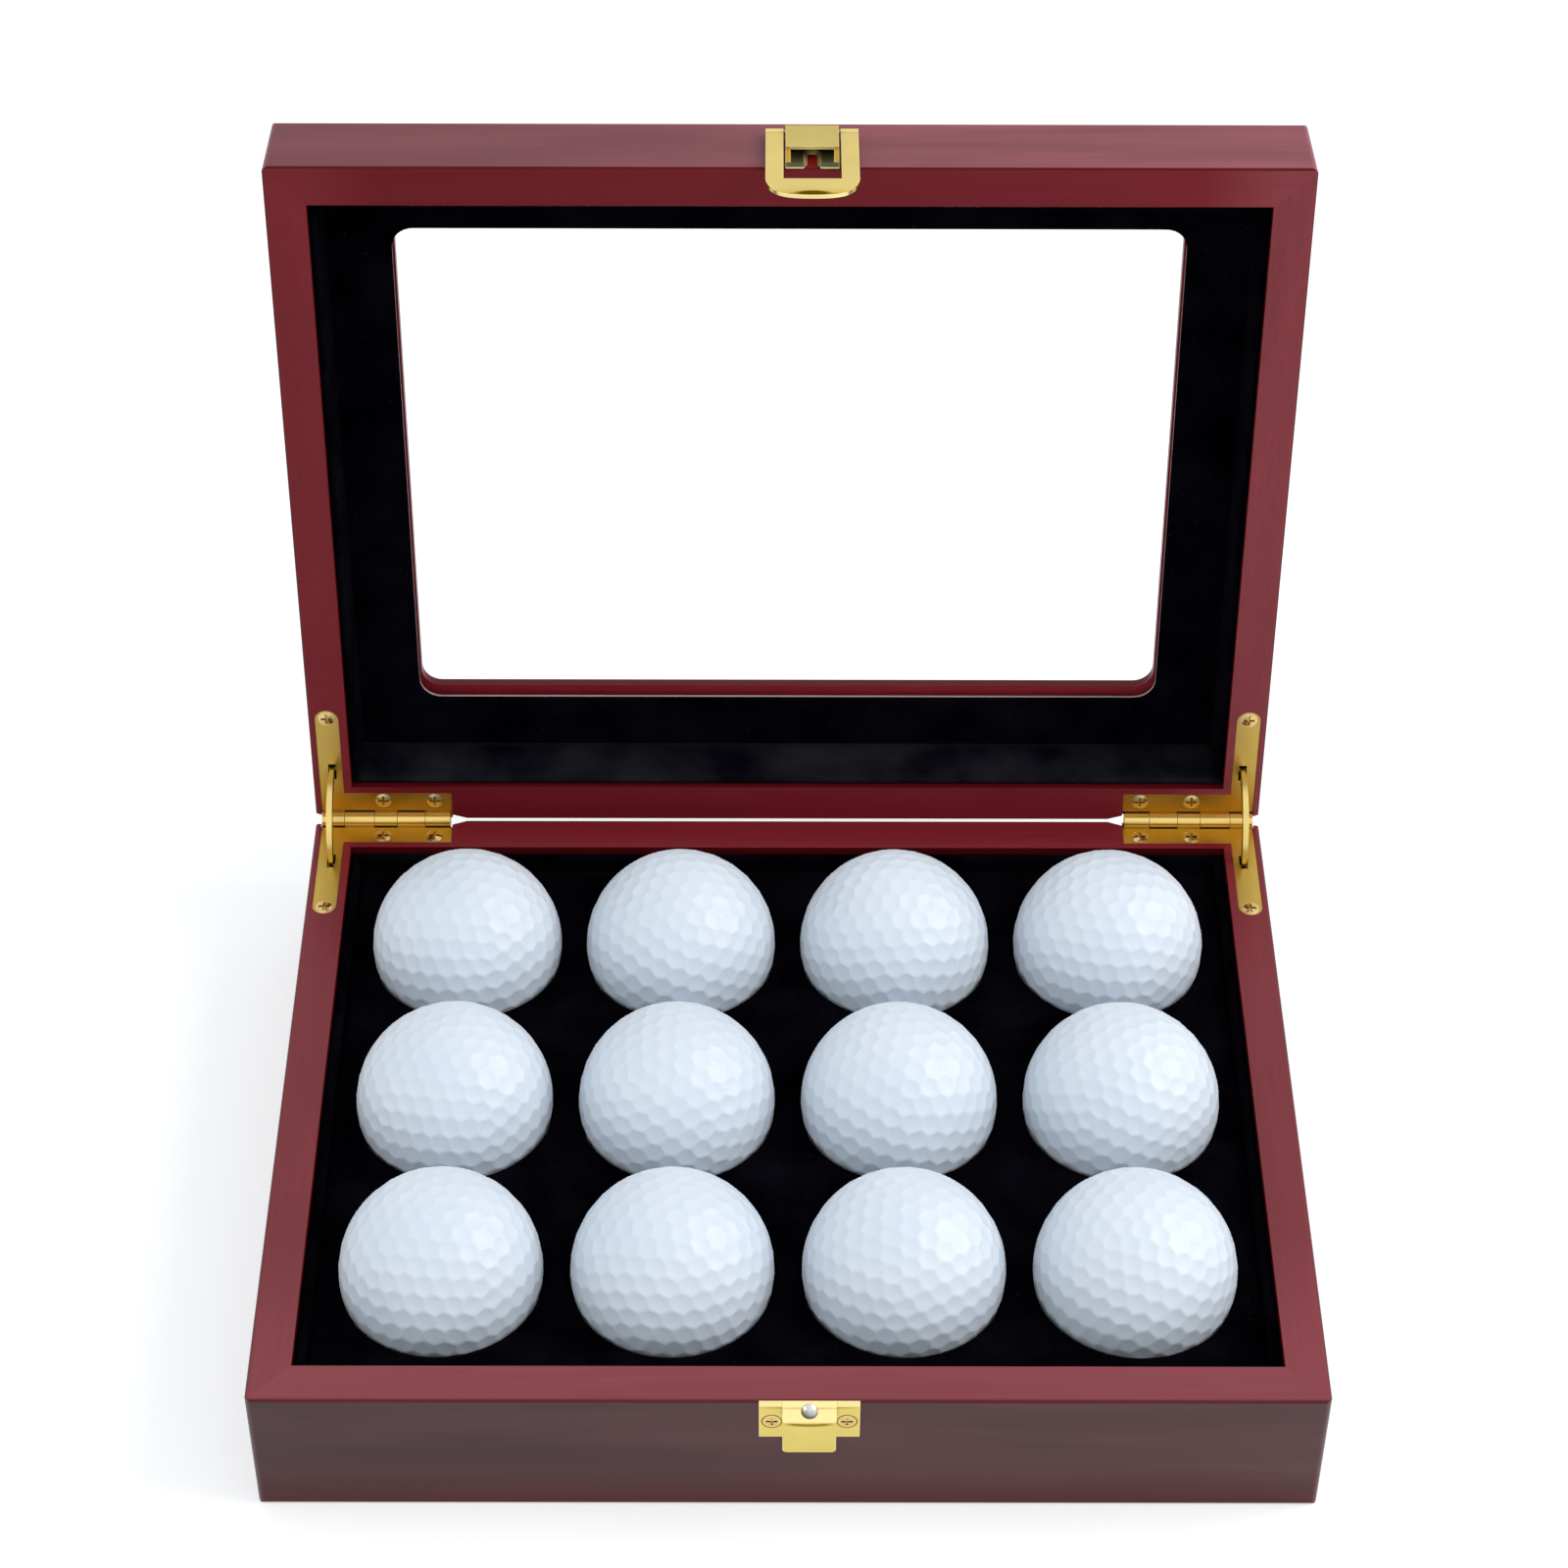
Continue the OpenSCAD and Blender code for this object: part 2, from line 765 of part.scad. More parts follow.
// The latch plate's side profile: its lower edge is thin and its heel is rounded round the pivot.
module plate_profile() {
    heel_r = bridge_top - pivot_out;
    heel = [for (a = [90 : -15 : 0]) [pivot_up + heel_r * cos(a), pivot_out + heel_r * sin(a)]];
    polygon(concat([[tiny, 0], [tiny, toe_t], [toe_up, sheet_t], [bridge_low, bridge_top - cheek_lip],
                    [bridge_low, bridge_top]], heel, [[pivot_up + heel_r, 0]]));
}

// The notch in the latch plate: a slot with a round top and a bevelled edge, splayed at its foot.
module plate_notch() {
    half = notch_w / 2;
    face_half = half + notch_bevel;
    round_up = notch_top - face_half;
    edge = [[half, -cut], [half, 0], [face_half, sheet_t], [face_half, sheet_t + cut]];
    other_edge = [for (i = [3 : -1 : 0]) [-edge[i][0], edge[i][1]]];
    translate([0, round_up, 0]) {
        rotate_extrude($fn = 48) polygon(concat([[0, -cut]], edge, [[0, sheet_t + cut]]));
        rotate([90, 0, 0]) linear_extrude(round_up + cut) polygon(concat(edge, other_edge));
    }
    translate([0, 0, -cut])
        linear_extrude(sheet_t + 2 * cut)
            polygon([[-half - notch_flare, 0], [half + notch_flare, 0],
                     [half, notch_flare_up], [-half, notch_flare_up]]);
}

// Latch plate: back leaf with its notch, two cheeks, and the bridge over the pivot.
module latch_plate() {
    color(brass) opened() latch_place()
        difference() {
            across(plate_w) plate_profile();
            across(plate_w - 2 * cheek_t)
                polygon([[-cut, sheet_t], [pivot_up, sheet_t], [pivot_up, bridge_top - sheet_t],
                         [bridge_low, bridge_top - sheet_t], [bridge_low, bridge_top + cut],
                         [-cut, bridge_top + cut]]);
            plate_notch();
            across(plate_w + 2 * cut) translate([pivot_up, pivot_out]) circle(pivot_r);
            for (x = [-1, 1])
                translate([x * nail_x, nail_up, -cut])
                    cylinder(r = nail_r + pilot_play, h = sheet_t + 2 * cut);
        }
}

module latch_nails() {
    color(brass) opened() latch_place()
        for (x = [-1, 1])
            translate([x * nail_x, nail_up, sheet_t]) {
                cylinder(r = nail_head_r, h = nail_head_h);
                translate([0, 0, -nail_len]) cylinder(r = nail_r, h = nail_len + tiny);
            }
}

module latch_pivot() {
    color(brass) opened() latch_place()
        across(bail_w - 2 * pivot_short) translate([pivot_up, pivot_out]) circle(pivot_r);
}

// The bail's side profile: eye, straight sheet, and a lip that curls outwards.
module bail_profile() {
    low = pivot_out - bail_t / 2;
    translate([pivot_up, pivot_out]) circle(eye_r);
    translate([lip_turn_up, low]) square([pivot_up - lip_turn_up, bail_t]);
    translate([lip_turn_up, low + lip_r])
        intersection() {
            difference() {
                circle(lip_r, $fn = 96);
                circle(lip_r - bail_t, $fn = 96);
            }
            polygon([[0, 0], [0, -2 * lip_r], [-2 * lip_r * tan(lip_angle), -2 * lip_r]]);
        }
}

// The bail seen from the front: two arms, a cross piece and the wide arc of its lip.
module bail_outline() {
    top = pivot_up + eye_r;
    difference() {
        union() {
            translate([-bail_w / 2, lip_arc_up]) square([bail_w, top - lip_arc_up + cut]);
            intersection() {
                translate([0, lip_arc_up]) circle(lip_arc_r, $fn = 96);
                translate([-bail_w / 2, lip_arc_up - lip_arc_r]) square([bail_w, 2 * lip_arc_r]);
            }
        }
        translate([-bail_open_w / 2, bail_open_low]) square([bail_open_w, top - bail_open_low + 2 * cut]);
    }
}

module latch_bail() {
    color(brass) opened() latch_place()
        difference() {
            intersection() {
                across(bail_w) bail_profile();
                linear_extrude(2 * lip_r) bail_outline();
            }
            across(bail_w + 2 * cut) translate([pivot_up, pivot_out]) circle(pivot_r + running_play);
        }
}

// Half the stay's thickness at c along its chord, from the middle.
function stay_half(c) = (stay_t - (stay_t - stay_tip_t) * pow(c / stay_r1, 2)) / 2;

// The stay: an arc about the hinge line that thins towards its ends, with a bead across each end.
module stay(side) {
    from = -stay_end_angle;
    to = open_angle + stay_end_angle;
    mid_r = (stay_r0 + stay_r1) / 2;
    reach = 2 * stay_r1;
    chord = [for (i = [-stay_steps : stay_steps]) i * stay_r1 / stay_steps];
    one_side = [for (c = chord) [stay_half(c), c]];
    other_side = [for (i = [2 * stay_steps : -1 : 0]) [-stay_half(chord[i]), chord[i]]];
    hinge_place(side)
        translate([stay_in, 0, 0]) {
            intersection() {
                translate([-stay_t / 2, 0, 0])
                    rotate([90, 0, 90])
                        linear_extrude(stay_t)
                            intersection() {
                                difference() {
                                    circle(stay_r1, $fn = 96);
                                    circle(stay_r0, $fn = 96);
                                }
                                polygon([[0, 0],
                                         [reach * cos(from), reach * sin(from)],
                                         [reach, reach],
                                         [-reach, reach],
                                         [reach * cos(to), reach * sin(to)]]);
                            }
                rotate([open_angle / 2 - 90, 0, 0])
                    linear_extrude(reach) polygon(concat(one_side, other_side));
            }
            for (a = [-bead_angle, open_angle + bead_angle])
                translate([-bead_len / 2, mid_r * cos(a), mid_r * sin(a)])
                    rotate([0, 90, 0]) cylinder(r = bead_r, h = bead_len);
        }
}
module left_stay() { color(brass) stay(-1); }
module right_stay() { color(brass) stay(1); }

base_front_rail();
base_back_rail();
base_left_rail();
base_right_rail();
base_bottom_panel();
base_front_lining();
base_back_lining();
base_left_lining();
base_right_lining();
ball_tray();
tray_underlay();
strike_plate();
strike_screws();
strike_pin();
left_lower_leaf();
right_lower_leaf();
left_hinge_pin();
right_hinge_pin();
lower_leaf_screws();
lid_front_rail();
lid_back_rail();
lid_left_rail();
lid_right_rail();
lid_top_panel();
window_glass();
lid_velvet_board();
lid_front_lining();
lid_back_lining();
lid_left_lining();
lid_right_lining();
left_upper_leaf();
right_upper_leaf();
upper_leaf_screws();
latch_plate();
latch_nails();
latch_pivot();
left_stay();
right_stay();
latch_bail();
for (i = [0 : columns * rows - 1])
    golf_ball(i);
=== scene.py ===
import json
import math

import bmesh
import bpy
import numpy as np
from mathutils import Matrix, Vector


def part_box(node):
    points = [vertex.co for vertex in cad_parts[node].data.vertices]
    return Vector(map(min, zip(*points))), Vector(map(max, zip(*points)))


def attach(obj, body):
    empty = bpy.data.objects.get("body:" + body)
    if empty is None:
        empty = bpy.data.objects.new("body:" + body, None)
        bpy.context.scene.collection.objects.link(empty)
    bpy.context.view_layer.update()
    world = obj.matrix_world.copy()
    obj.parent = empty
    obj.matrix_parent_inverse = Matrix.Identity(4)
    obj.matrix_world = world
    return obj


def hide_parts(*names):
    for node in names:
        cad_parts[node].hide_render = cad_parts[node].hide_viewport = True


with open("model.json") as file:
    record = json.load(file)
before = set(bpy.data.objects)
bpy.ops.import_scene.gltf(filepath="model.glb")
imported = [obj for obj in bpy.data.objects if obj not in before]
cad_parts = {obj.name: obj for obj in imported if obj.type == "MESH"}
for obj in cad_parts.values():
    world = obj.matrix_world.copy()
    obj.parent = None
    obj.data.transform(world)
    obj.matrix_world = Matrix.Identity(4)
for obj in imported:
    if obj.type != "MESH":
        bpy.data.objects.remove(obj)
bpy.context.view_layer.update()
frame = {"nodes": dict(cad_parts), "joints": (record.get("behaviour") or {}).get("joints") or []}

# The viewpoint: from in front of the case and 43 degrees above it, a long lens about 0.87 m away.
# The camera is a hair off level, as it is in the photograph.
MM = 0.001
camera_place = Vector((-3.05, -565.44, 659.27)) * MM
camera_pitch = math.radians(43.337)
camera_yaw = math.radians(-0.196)
camera_roll = math.radians(0.233)
lens_mm = 89.0
film_mm = 36.0
nearest_seen = 0.01
furthest_seen = 50

lens = bpy.data.cameras.new("viewpoint")
lens.lens = lens_mm
lens.sensor_width = film_mm
lens.clip_start = nearest_seen
lens.clip_end = furthest_seen
viewpoint = bpy.data.objects.new("viewpoint", lens)
bpy.context.scene.collection.objects.link(viewpoint)
viewpoint.matrix_world = (
    Matrix.Translation(camera_place)
    @ Matrix.Rotation(camera_yaw, 4, "Z")
    @ Matrix.Rotation(math.pi / 2 - camera_pitch, 4, "X")
    @ Matrix.Rotation(camera_roll, 4, "Z")
)
bpy.context.scene.camera = viewpoint
bpy.context.scene.view_settings.view_transform = "Standard"

# The setting: a white table top in a white room. A soft lamp stands on the right and a weaker one
# on the left, with faint ones above and behind the case and in front of it. The table glows a
# little to the eye, more so far away, so that it stays as white as the room.
table_half = 4.0
table_white = (0.62, 0.62, 0.62)
near_table = 0.5
near_glow = 0.49
far_table = 1.2
far_glow = 0.68
room_tint = (0.93, 0.97, 1.0)
room_strength = 0.77
lamp_target = Vector((0, 0, 0.05))


def node_adder(tree):
    """Empties a node tree and returns the function that adds nodes to it. That function sets the
    node's own settings, and gives each input a number, a colour or another node's output."""
    tree.nodes.clear()

    def add(kind, inputs=None, **settings):
        node = tree.nodes.new("ShaderNode" + kind)
        for name, value in settings.items():
            setattr(node, name, value)
        for name, value in (inputs or {}).items():
            socket = node.inputs[name]
            if isinstance(value, bpy.types.NodeSocket):
                tree.links.new(value, socket)
            elif socket.type == "RGBA":
                socket.default_value = (*value, 1)
            else:
                socket.default_value = value
        return node

    return add


def new_material(name):
    """A material with an empty node tree, and the function that adds nodes to it."""
    material = bpy.data.materials.new(name)
    material.use_nodes = True
    return material, node_adder(material.node_tree)


def maths(add, operation, first, second=0.0):
    """The result of an operation on two numbers, or on the first where it takes only one."""
    return add("Math", {0: first, 1: second}, operation=operation).outputs[0]


def seen_directly(add):
    """1 for what the eye sees straight, in a reflection or through glass, 0 for diffuse light."""
    path = add("LightPath").outputs
    straight = maths(add, "MAXIMUM", path["Is Camera Ray"], path["Is Glossy Ray"])
    return maths(add, "MAXIMUM", straight, path["Is Transmission Ray"])


def spread(add, source, from_min, from_max, to_min=0.0, to_max=1.0):
    """Moves source from one range to another and stops it at the ends."""
    ends = {"From Min": from_min, "From Max": from_max, "To Min": to_min, "To Max": to_max}
    return add("MapRange", {"Value": source, **ends}).outputs["Result"]


def mesh_piece(name, vertices, faces, materials, smooth=True):
    """A mesh object of the given points and faces, in metres, in the frame's own axes."""
    mesh = bpy.data.meshes.new(name)
    mesh.from_pydata([tuple(v) for v in vertices], [], faces)
    for material in materials:
        mesh.materials.append(material)
    mesh.polygons.foreach_set("use_smooth", [smooth] * len(mesh.polygons))
    mesh.update()
    piece = bpy.data.objects.new(name, mesh)
    bpy.context.scene.collection.objects.link(piece)
    return piece


white_top, add = new_material("white_table")
table_paint = add("BsdfDiffuse", {"Color": table_white})
away = add("VectorMath", {0: add("TexCoord").outputs["Object"]}, operation="LENGTH").outputs["Value"]
glow_there = spread(add, away, near_table, far_table, near_glow, far_glow)
glow = add("Emission", {"Strength": maths(add, "MULTIPLY", seen_directly(add), glow_there)})
glowing_paint = add("AddShader", {0: table_paint.outputs[0], 1: glow.outputs[0]})
add("OutputMaterial", {"Surface": glowing_paint.outputs[0]})

table_corners = [(-1, -1), (1, -1), (1, 1), (-1, 1)]
table = mesh_piece(
    "table_top",
    [(x * table_half, y * table_half, 0) for x, y in table_corners],
    [(0, 1, 2, 3)],
    [white_top],
    smooth=False,
)

room = bpy.data.worlds.new("room")
bpy.context.scene.world = room
room.use_nodes = True
add = node_adder(room.node_tree)
room_light = add("Background", {"Color": room_tint, "Strength": room_strength})
room_white = add("Background", {"Color": (1, 1, 1), "Strength": 1.0})
room_seen = add(
    "MixShader", {0: seen_directly(add), 1: room_light.outputs[0], 2: room_white.outputs[0]}
)
add("OutputWorld", {"Surface": room_seen.outputs[0]})


def soft_lamp(name, place, size, watts, colour):
    """A square lamp at place that points at the case."""
    light = bpy.data.lights.new(name, "AREA")
    light.shape = "SQUARE"
    light.size = size
    light.energy = watts
    light.color = colour
    lamp = bpy.data.objects.new(name, light)
    bpy.context.scene.collection.objects.link(lamp)
    lamp.location = place
    lamp.rotation_mode = "QUATERNION"
    lamp.rotation_quaternion = (lamp_target - Vector(place)).to_track_quat("-Z", "Y")


soft_lamp("lamp_right", (1.0, 0.0, 0.95), size=0.8, watts=10.4, colour=(1, 0.99, 0.99))
soft_lamp("lamp_left", (-1.3, -0.3, 0.7), size=1.0, watts=4.6, colour=(0.90, 0.96, 1))
soft_lamp("lamp_back", (0.0, 1.0, 1.5), size=1.2, watts=1.0, colour=(1, 1, 1))
soft_lamp("lamp_front", (-0.2, -1.5, 1.2), size=1.0, watts=0.6, colour=(1, 1, 1))

# The case's walls: mitred rails of wood stained dark red and sprayed with satin lacquer, glued at
# the corners, with a thin panel let in underneath. The rims are a clear deep red, and the outer
# faces a browner, cloudier shade that turns redder at the foot. Painted light lies over the stain:
# the rims' colours change from place to place with painted light and sheen, and the outer faces
# are painted darker to the left and lighter to the right.
edge_red = (0.085, 0.0035, 0.0060)
foot_red = (0.082, 0.0030, 0.0060)
foot_top = 13 * MM
foot_bottom = 1 * MM
# Painted light: the outer faces are darker to the left and lighter to the right, as the light falls.
light_fall_from = -0.1
light_fall_to = 0.1
outside_reach = 8 * MM
lacquer_roughness = (0.24, 0.34)
grain_strength = 0.05
grain_depth = 0.2 * MM


def noise(add, place, scale, detail, distortion=0.0):
    """Noise from 0 to 1 with scale lumps a metre."""
    settings = {"Vector": place, "Scale": scale, "Detail": detail, "Distortion": distortion}
    return add("TexNoise", settings).outputs["Fac"]


def ramp(add, source, *stops):
    """Turns source into tones. Each stop is a position and the grey or the colour there."""
    node = add("ValToRGB", {"Fac": source})
    steps = node.color_ramp.elements
    while len(steps) < len(stops):
        steps.new(1.0)
    for step, (position, tone) in zip(steps, stops):
        step.position = position
        step.color = (*tone, 1) if isinstance(tone, tuple) else (tone, tone, tone, 1)
    return node.outputs["Color"]


def blend(add, factor, below, above, kind="MIX"):
    """Lays one colour over another, where factor is 1."""
    colours = {"Factor": factor, "A": below, "B": above}
    return add("Mix", colours, data_type="RGBA", blend_type=kind).outputs["Result"]


def dot(add, first, second):
    """The dot product of two directions."""
    return add("VectorMath", {0: first, 1: second}, operation="DOT_PRODUCT").outputs["Value"]


def oval_reach(add, place, middle, half_size):
    """How far place is from middle, in shares of the half sizes."""
    offset = add("VectorMath", {0: place, 1: middle}, operation="SUBTRACT")
    scaled = add("VectorMath", {0: offset.outputs[0], 1: half_size}, operation="DIVIDE")
    return add("VectorMath", {0: scaled.outputs[0]}, operation="LENGTH").outputs["Value"]


def bump(add, height, strength, distance):
    """A fine relief of the surface."""
    return add("Bump", {"Height": height, "Strength": strength, "Distance": distance}).outputs[0]


def cover(add, inputs):
    """Makes one shader with these inputs the material's whole surface."""
    shader = add("BsdfPrincipled", inputs)
    add("OutputMaterial", {"Surface": shader.outputs[0]})


def stained_wood(name, along, rim, rim_tones_with_light, outside_tones, gloss, core, lean=0.0, foot=False, covered=None):
    """Red lacquered wood whose grain runs along the axis X, Y or Z, leaning back by lean. Its rim
    faces the direction rim and takes its colour from the rim tones, an axis with places and
    colours that hold the stain with painted light and sheen. The faces turned away from the point
    core vary between two tones, painted darker to the left and lighter to the right, and those
    turned to it are dark. The last argument is a place, a half size and the colour of a shadow
    painted there."""
    material, add = new_material(name)
    coords = add("TexCoord")
    place = coords.outputs["Object"]
    normal = coords.outputs["Normal"]
    parts = add("SeparateXYZ", {0: place})

    def streaks(lengthwise, crosswise, detail, distortion=0.0):
        """Noise drawn out along the grain, with so many lumps a metre each way."""
        scale = [lengthwise if axis == along else crosswise for axis in "XYZ"]
        stretched = add("Mapping", {"Vector": place, "Rotation": (lean, 0, 0), "Scale": scale})
        return noise(add, stretched.outputs[0], 1.0, detail, distortion)

    stain = streaks(lengthwise=13.0, crosswise=75.0, detail=3.0, distortion=0.4)
    outside = ramp(add, stain, (0.36, outside_tones[0]), (0.64, outside_tones[1]))
    # Painted light across the case, darker to the left and lighter to the right.
    rightward = spread(add, parts.outputs["X"], light_fall_from, light_fall_to)
    painted_light_gradient = ramp(add, rightward, (0.0, 0.74), (0.5, 0.95), (1.0, 1.06))
    outside = blend(add, 1.0, outside, painted_light_gradient, "MULTIPLY")
    if foot:
        down = spread(add, parts.outputs["Z"], foot_top, foot_bottom)
        patches = streaks(lengthwise=25.0, crosswise=160.0, detail=2.0)
        cloudy = maths(add, "MULTIPLY", down, ramp(add, patches, (0.2, 0.5), (0.4, 1.0)))
        outside = blend(add, cloudy, outside, foot_red)
    # A painted shadow, such as the one the latch casts on the lid's front.
    if covered:
        middle, half_size, colour = covered
        reach = oval_reach(add, place, middle, half_size)
        outside = blend(add, spread(add, reach, 1.0, 0.85), outside, colour)

    from_core = add("VectorMath", {0: place, 1: core}, operation="SUBTRACT").outputs[0]
    turned_out = spread(add, dot(add, normal, from_core), 0.0, outside_reach)
    sides = blend(add, turned_out, edge_red, outside)

    # The rim tones hold painted light and sheen, which change along one axis.
    axis, tones = rim_tones_with_light
    first = tones[0][0]
    last = tones[-1][0]
    stops = [((spot - first) / (last - first), colour) for spot, colour in tones]
    rim_red = ramp(add, spread(add, parts.outputs[axis], first, last), *stops)
    toward_rim = dot(add, normal, rim)
    edged = blend(add, ramp(add, toward_rim, (0.10, 0.0), (0.30, 1.0)), sides, edge_red)
    coloured = blend(add, ramp(add, toward_rim, (0.75, 0.0), (0.97, 1.0)), edged, rim_red)

    fine = streaks(lengthwise=45.0, crosswise=1900.0, detail=4.0)
    broad = streaks(lengthwise=9.0, crosswise=130.0, detail=3.0, distortion=0.5)
    grained = blend(add, 1.0, coloured, ramp(add, fine, (0.30, 0.93), (0.70, 1.05)), "MULTIPLY")
    clouded = blend(add, 1.0, grained, ramp(add, broad, (0.30, 0.90), (0.70, 1.06)), "MULTIPLY")
    polish = streaks(lengthwise=14.0, crosswise=40.0, detail=2.0)
    cover(add, {
        "Base Color": clouded,
        "Roughness": spread(add, polish, 0.0, 1.0, *lacquer_roughness),
        "Specular IOR Level": gloss,
        "Normal": bump(add, fine, grain_strength, grain_depth),
    })
    return material


def dress(node, material):
    """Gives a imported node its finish."""
    slots = frame["nodes"][node].material_slots
    for slot in slots:
        slot.material = material


upward = (0, 0, 1)
base_core = (0, 0, 17 * MM)
base_tones = ((0.078, 0.0255, 0.0265), (0.113, 0.037, 0.042))
# The base's rim tones hold painted light: a pink painted sheen at the front, fading to a darker red at the
# back, which the open lid shades.
base_rim_with_light = ("Y", [
    (-76 * MM, (0.212, 0.0383, 0.0485)),
    (-40 * MM, (0.168, 0.0238, 0.0303)),
    (30 * MM, (0.171, 0.0238, 0.0303)),
    (76 * MM, (0.172, 0.0135, 0.0189)),
])


def base_wood(name, along, gloss):
    """The wood of one side of the base."""
    return stained_wood(name, along, upward, base_rim_with_light, base_tones, gloss, base_core, foot=True)


base_front = base_wood("base_wood_front", "X", gloss=0.25)
base_sides = base_wood("base_wood_sides", "Y", gloss=0.22)
base_back = base_wood("base_wood_back", "X", gloss=0.10)
dress("base_front_rail", base_front)
dress("base_back_rail", base_back)
dress("base_left_rail", base_sides)
dress("base_right_rail", base_sides)
dress("base_bottom_panel", base_back)

# The base's lining: strips of card wrapped in black velvet, stood against the four walls.
# The pile is soft, so each strip's free edge is round and its face is not quite flat.
dust_grey = (0.020, 0.019, 0.022)
lint_grey = (0.035, 0.035, 0.038)
pile_strength = 0.6
pile_depth = 0.4 * MM
pile_sheen = 0.006
pile_sheen_tint = (0.65, 0.72, 0.85)


def velvet_pile(name, shade=1.0, dust=0.0):
    """Black velvet with brushed patches, and clouds of dust and a little lint where dust is set."""
    material, add = new_material(name)
    place = add("TexCoord").outputs["Object"]
    darkest = (0.0005 * shade, 0.0004 * shade, 0.0013 * shade)
    lightest = (0.0030 * shade, 0.0027 * shade, 0.0046 * shade)
    brushing = noise(add, place, scale=70.0, detail=4.0)
    brushed = ramp(add, brushing, (0.35, darkest), (0.70, lightest))
    dust_clouds = noise(add, place, scale=45.0, detail=6.0)
    dusty = blend(add, ramp(add, dust_clouds, (0.42, 0.0), (0.66, dust)), brushed, dust_grey)
    lint = noise(add, place, scale=1500.0, detail=1.0)
    linted = blend(add, ramp(add, lint, (0.78, 0.0), (0.82, 1.0)), dusty, lint_grey)
    tufts = noise(add, place, scale=2600.0, detail=2.0)
    cover(add, {
        "Base Color": linted,
        "Roughness": 0.95,
        "Specular IOR Level": 0.0,
        "Sheen Weight": pile_sheen * shade,
        "Sheen Roughness": 0.45,
        "Sheen Tint": pile_sheen_tint,
        "Normal": bump(add, tufts, pile_strength, pile_depth),
    })
    return material


def ripple(*phases):
    """A slow, uneven wave from -1 to 1, the same each time for the same place."""
    total = 0.0
    for step, phase in enumerate(phases):
        total += math.sin(phase * (1.0 + 0.73 * step) + 1.7 * step)
        total += 0.6 * math.sin(2.3 * phase + 0.9 + step)
    return total / (1.6 * len(phases))


def corners_of(node, turned_back=None):
    """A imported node's lowest and highest corner, at rest or with the lid turned back to closed."""
    points = [v.co.copy() for v in frame["nodes"][node].data.vertices]
    if turned_back:
        points = [turned_back @ p for p in points]
    low = Vector([min(p[i] for p in points) for i in range(3)])
    high = Vector([max(p[i] for p in points) for i in range(3)])
    return low, high


def set_outward(piece):
    """Makes every face of a closed mesh face outwards."""
    shell = bmesh.new()
    shell.from_mesh(piece.data)
    bmesh.ops.recalc_face_normals(shell, faces=shell.faces)
    shell.to_mesh(piece.data)
    shell.free()
    piece.data.update()


strip_step = 3 * MM
strip_arc_steps = 6
strip_rows = 8
wave_along = 21 * MM
wave_up = 6 * MM
wave_height = 0.16
wave_shift_per_m = 40


def strip_section(half_t, height):
    """A strip's outline, from the bottom of one face, round the free edge, down the other face."""
    section = [(-half_t, height * i / strip_rows) for i in range(strip_rows)]
    for i in range(strip_arc_steps + 1):
        angle = math.pi * (1 - i / strip_arc_steps)
        section.append((half_t * math.cos(angle), height - half_t + half_t * math.sin(angle)))
    section += [(half_t, height * (strip_rows - 1 - i) / strip_rows) for i in range(strip_rows)]
    return section


def velvet_strip(node, body, material, free_end, opened=None):
    """A wrapped strip in the place of a packed lining node. free_end is 1 where its round edge
    is the upper one and -1 where it is the lower one, with the lid closed."""
    low, high = corners_of(node, opened.inverted() if opened else None)
    size = high - low
    middle = (low + high) / 2
    long_axis, thin_axis = (0, 1) if size.x > size.y else (1, 0)
    length = size[long_axis]
    half_t = size[thin_axis] / 2
    section = strip_section(half_t, size.z)
    stations = int(length / strip_step) + 1
    points = []
    for s in range(stations + 1):
        along = length * (s / stations - 0.5)
        for t, h in section:
            up_phase = h / wave_up + middle[thin_axis] * wave_shift_per_m
            swell = 1 + wave_height * ripple(along / wave_along, up_phase)
            out = max(-half_t, min(half_t, t * min(1.0, swell)))
            up = h if free_end > 0 else size.z - h
            p = Vector((0, 0, low.z + up))
            p[long_axis] = middle[long_axis] + along
            p[thin_axis] = middle[thin_axis] + out
            points.append(p)
    ring = len(section)
    faces = []
    for s in range(stations):
        for k in range(ring):
            a = s * ring + k
            b = s * ring + (k + 1) % ring
            faces.append((a, b, b + ring, a + ring))
    faces.append(tuple(range(ring)))
    faces.append(tuple(range(stations * ring + ring - 1, stations * ring - 1, -1)))
    if opened:
        points = [opened @ p for p in points]
    strip = mesh_piece("velvet_" + node, points, faces, [material])
    set_outward(strip)
    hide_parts(node)
    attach(strip, body)


base_velvet = velvet_pile("velvet_of_base")
for side in ("front", "back", "left", "right"):
    velvet_strip(f"base_{side}_lining", "base", base_velvet, free_end=1)

# The tray: a thick foam sheet with twelve round holes, faced with the same velvet. The velvet
# rolls over the rim of each hole. A plain foam sheet lies under it.
tray_low, tray_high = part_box("ball_tray")
ball_names = [n for n in frame["nodes"] if n.startswith("golf_ball_")]
ball_centres = {n: (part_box(n)[0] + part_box(n)[1]) / 2 for n in ball_names}
hole_r = 21.65 * MM
lip_r = 1.1 * MM
sag = 0.12 * MM
sag_along_x = 17 * MM
sag_along_y = 19 * MM
turns = 96
face_rings = 5
lip_rings = 6
weld_distance = 0.01 * MM
tiny = 1e-9
foam_dark = (0.010, 0.010, 0.011)
foam_light = (0.030, 0.030, 0.032)
foam_relief_depth = 0.3 * MM


def tray_face(x, y):
    """The height of the velvet face, which is not quite flat."""
    return tray_high.z - sag + sag * ripple(x / sag_along_x, y / sag_along_y)


def between(places, low, high):
    """The lines half way between places, with low and high at the ends."""
    return [low] + [(a + b) / 2 for a, b in zip(places, places[1:])] + [high]


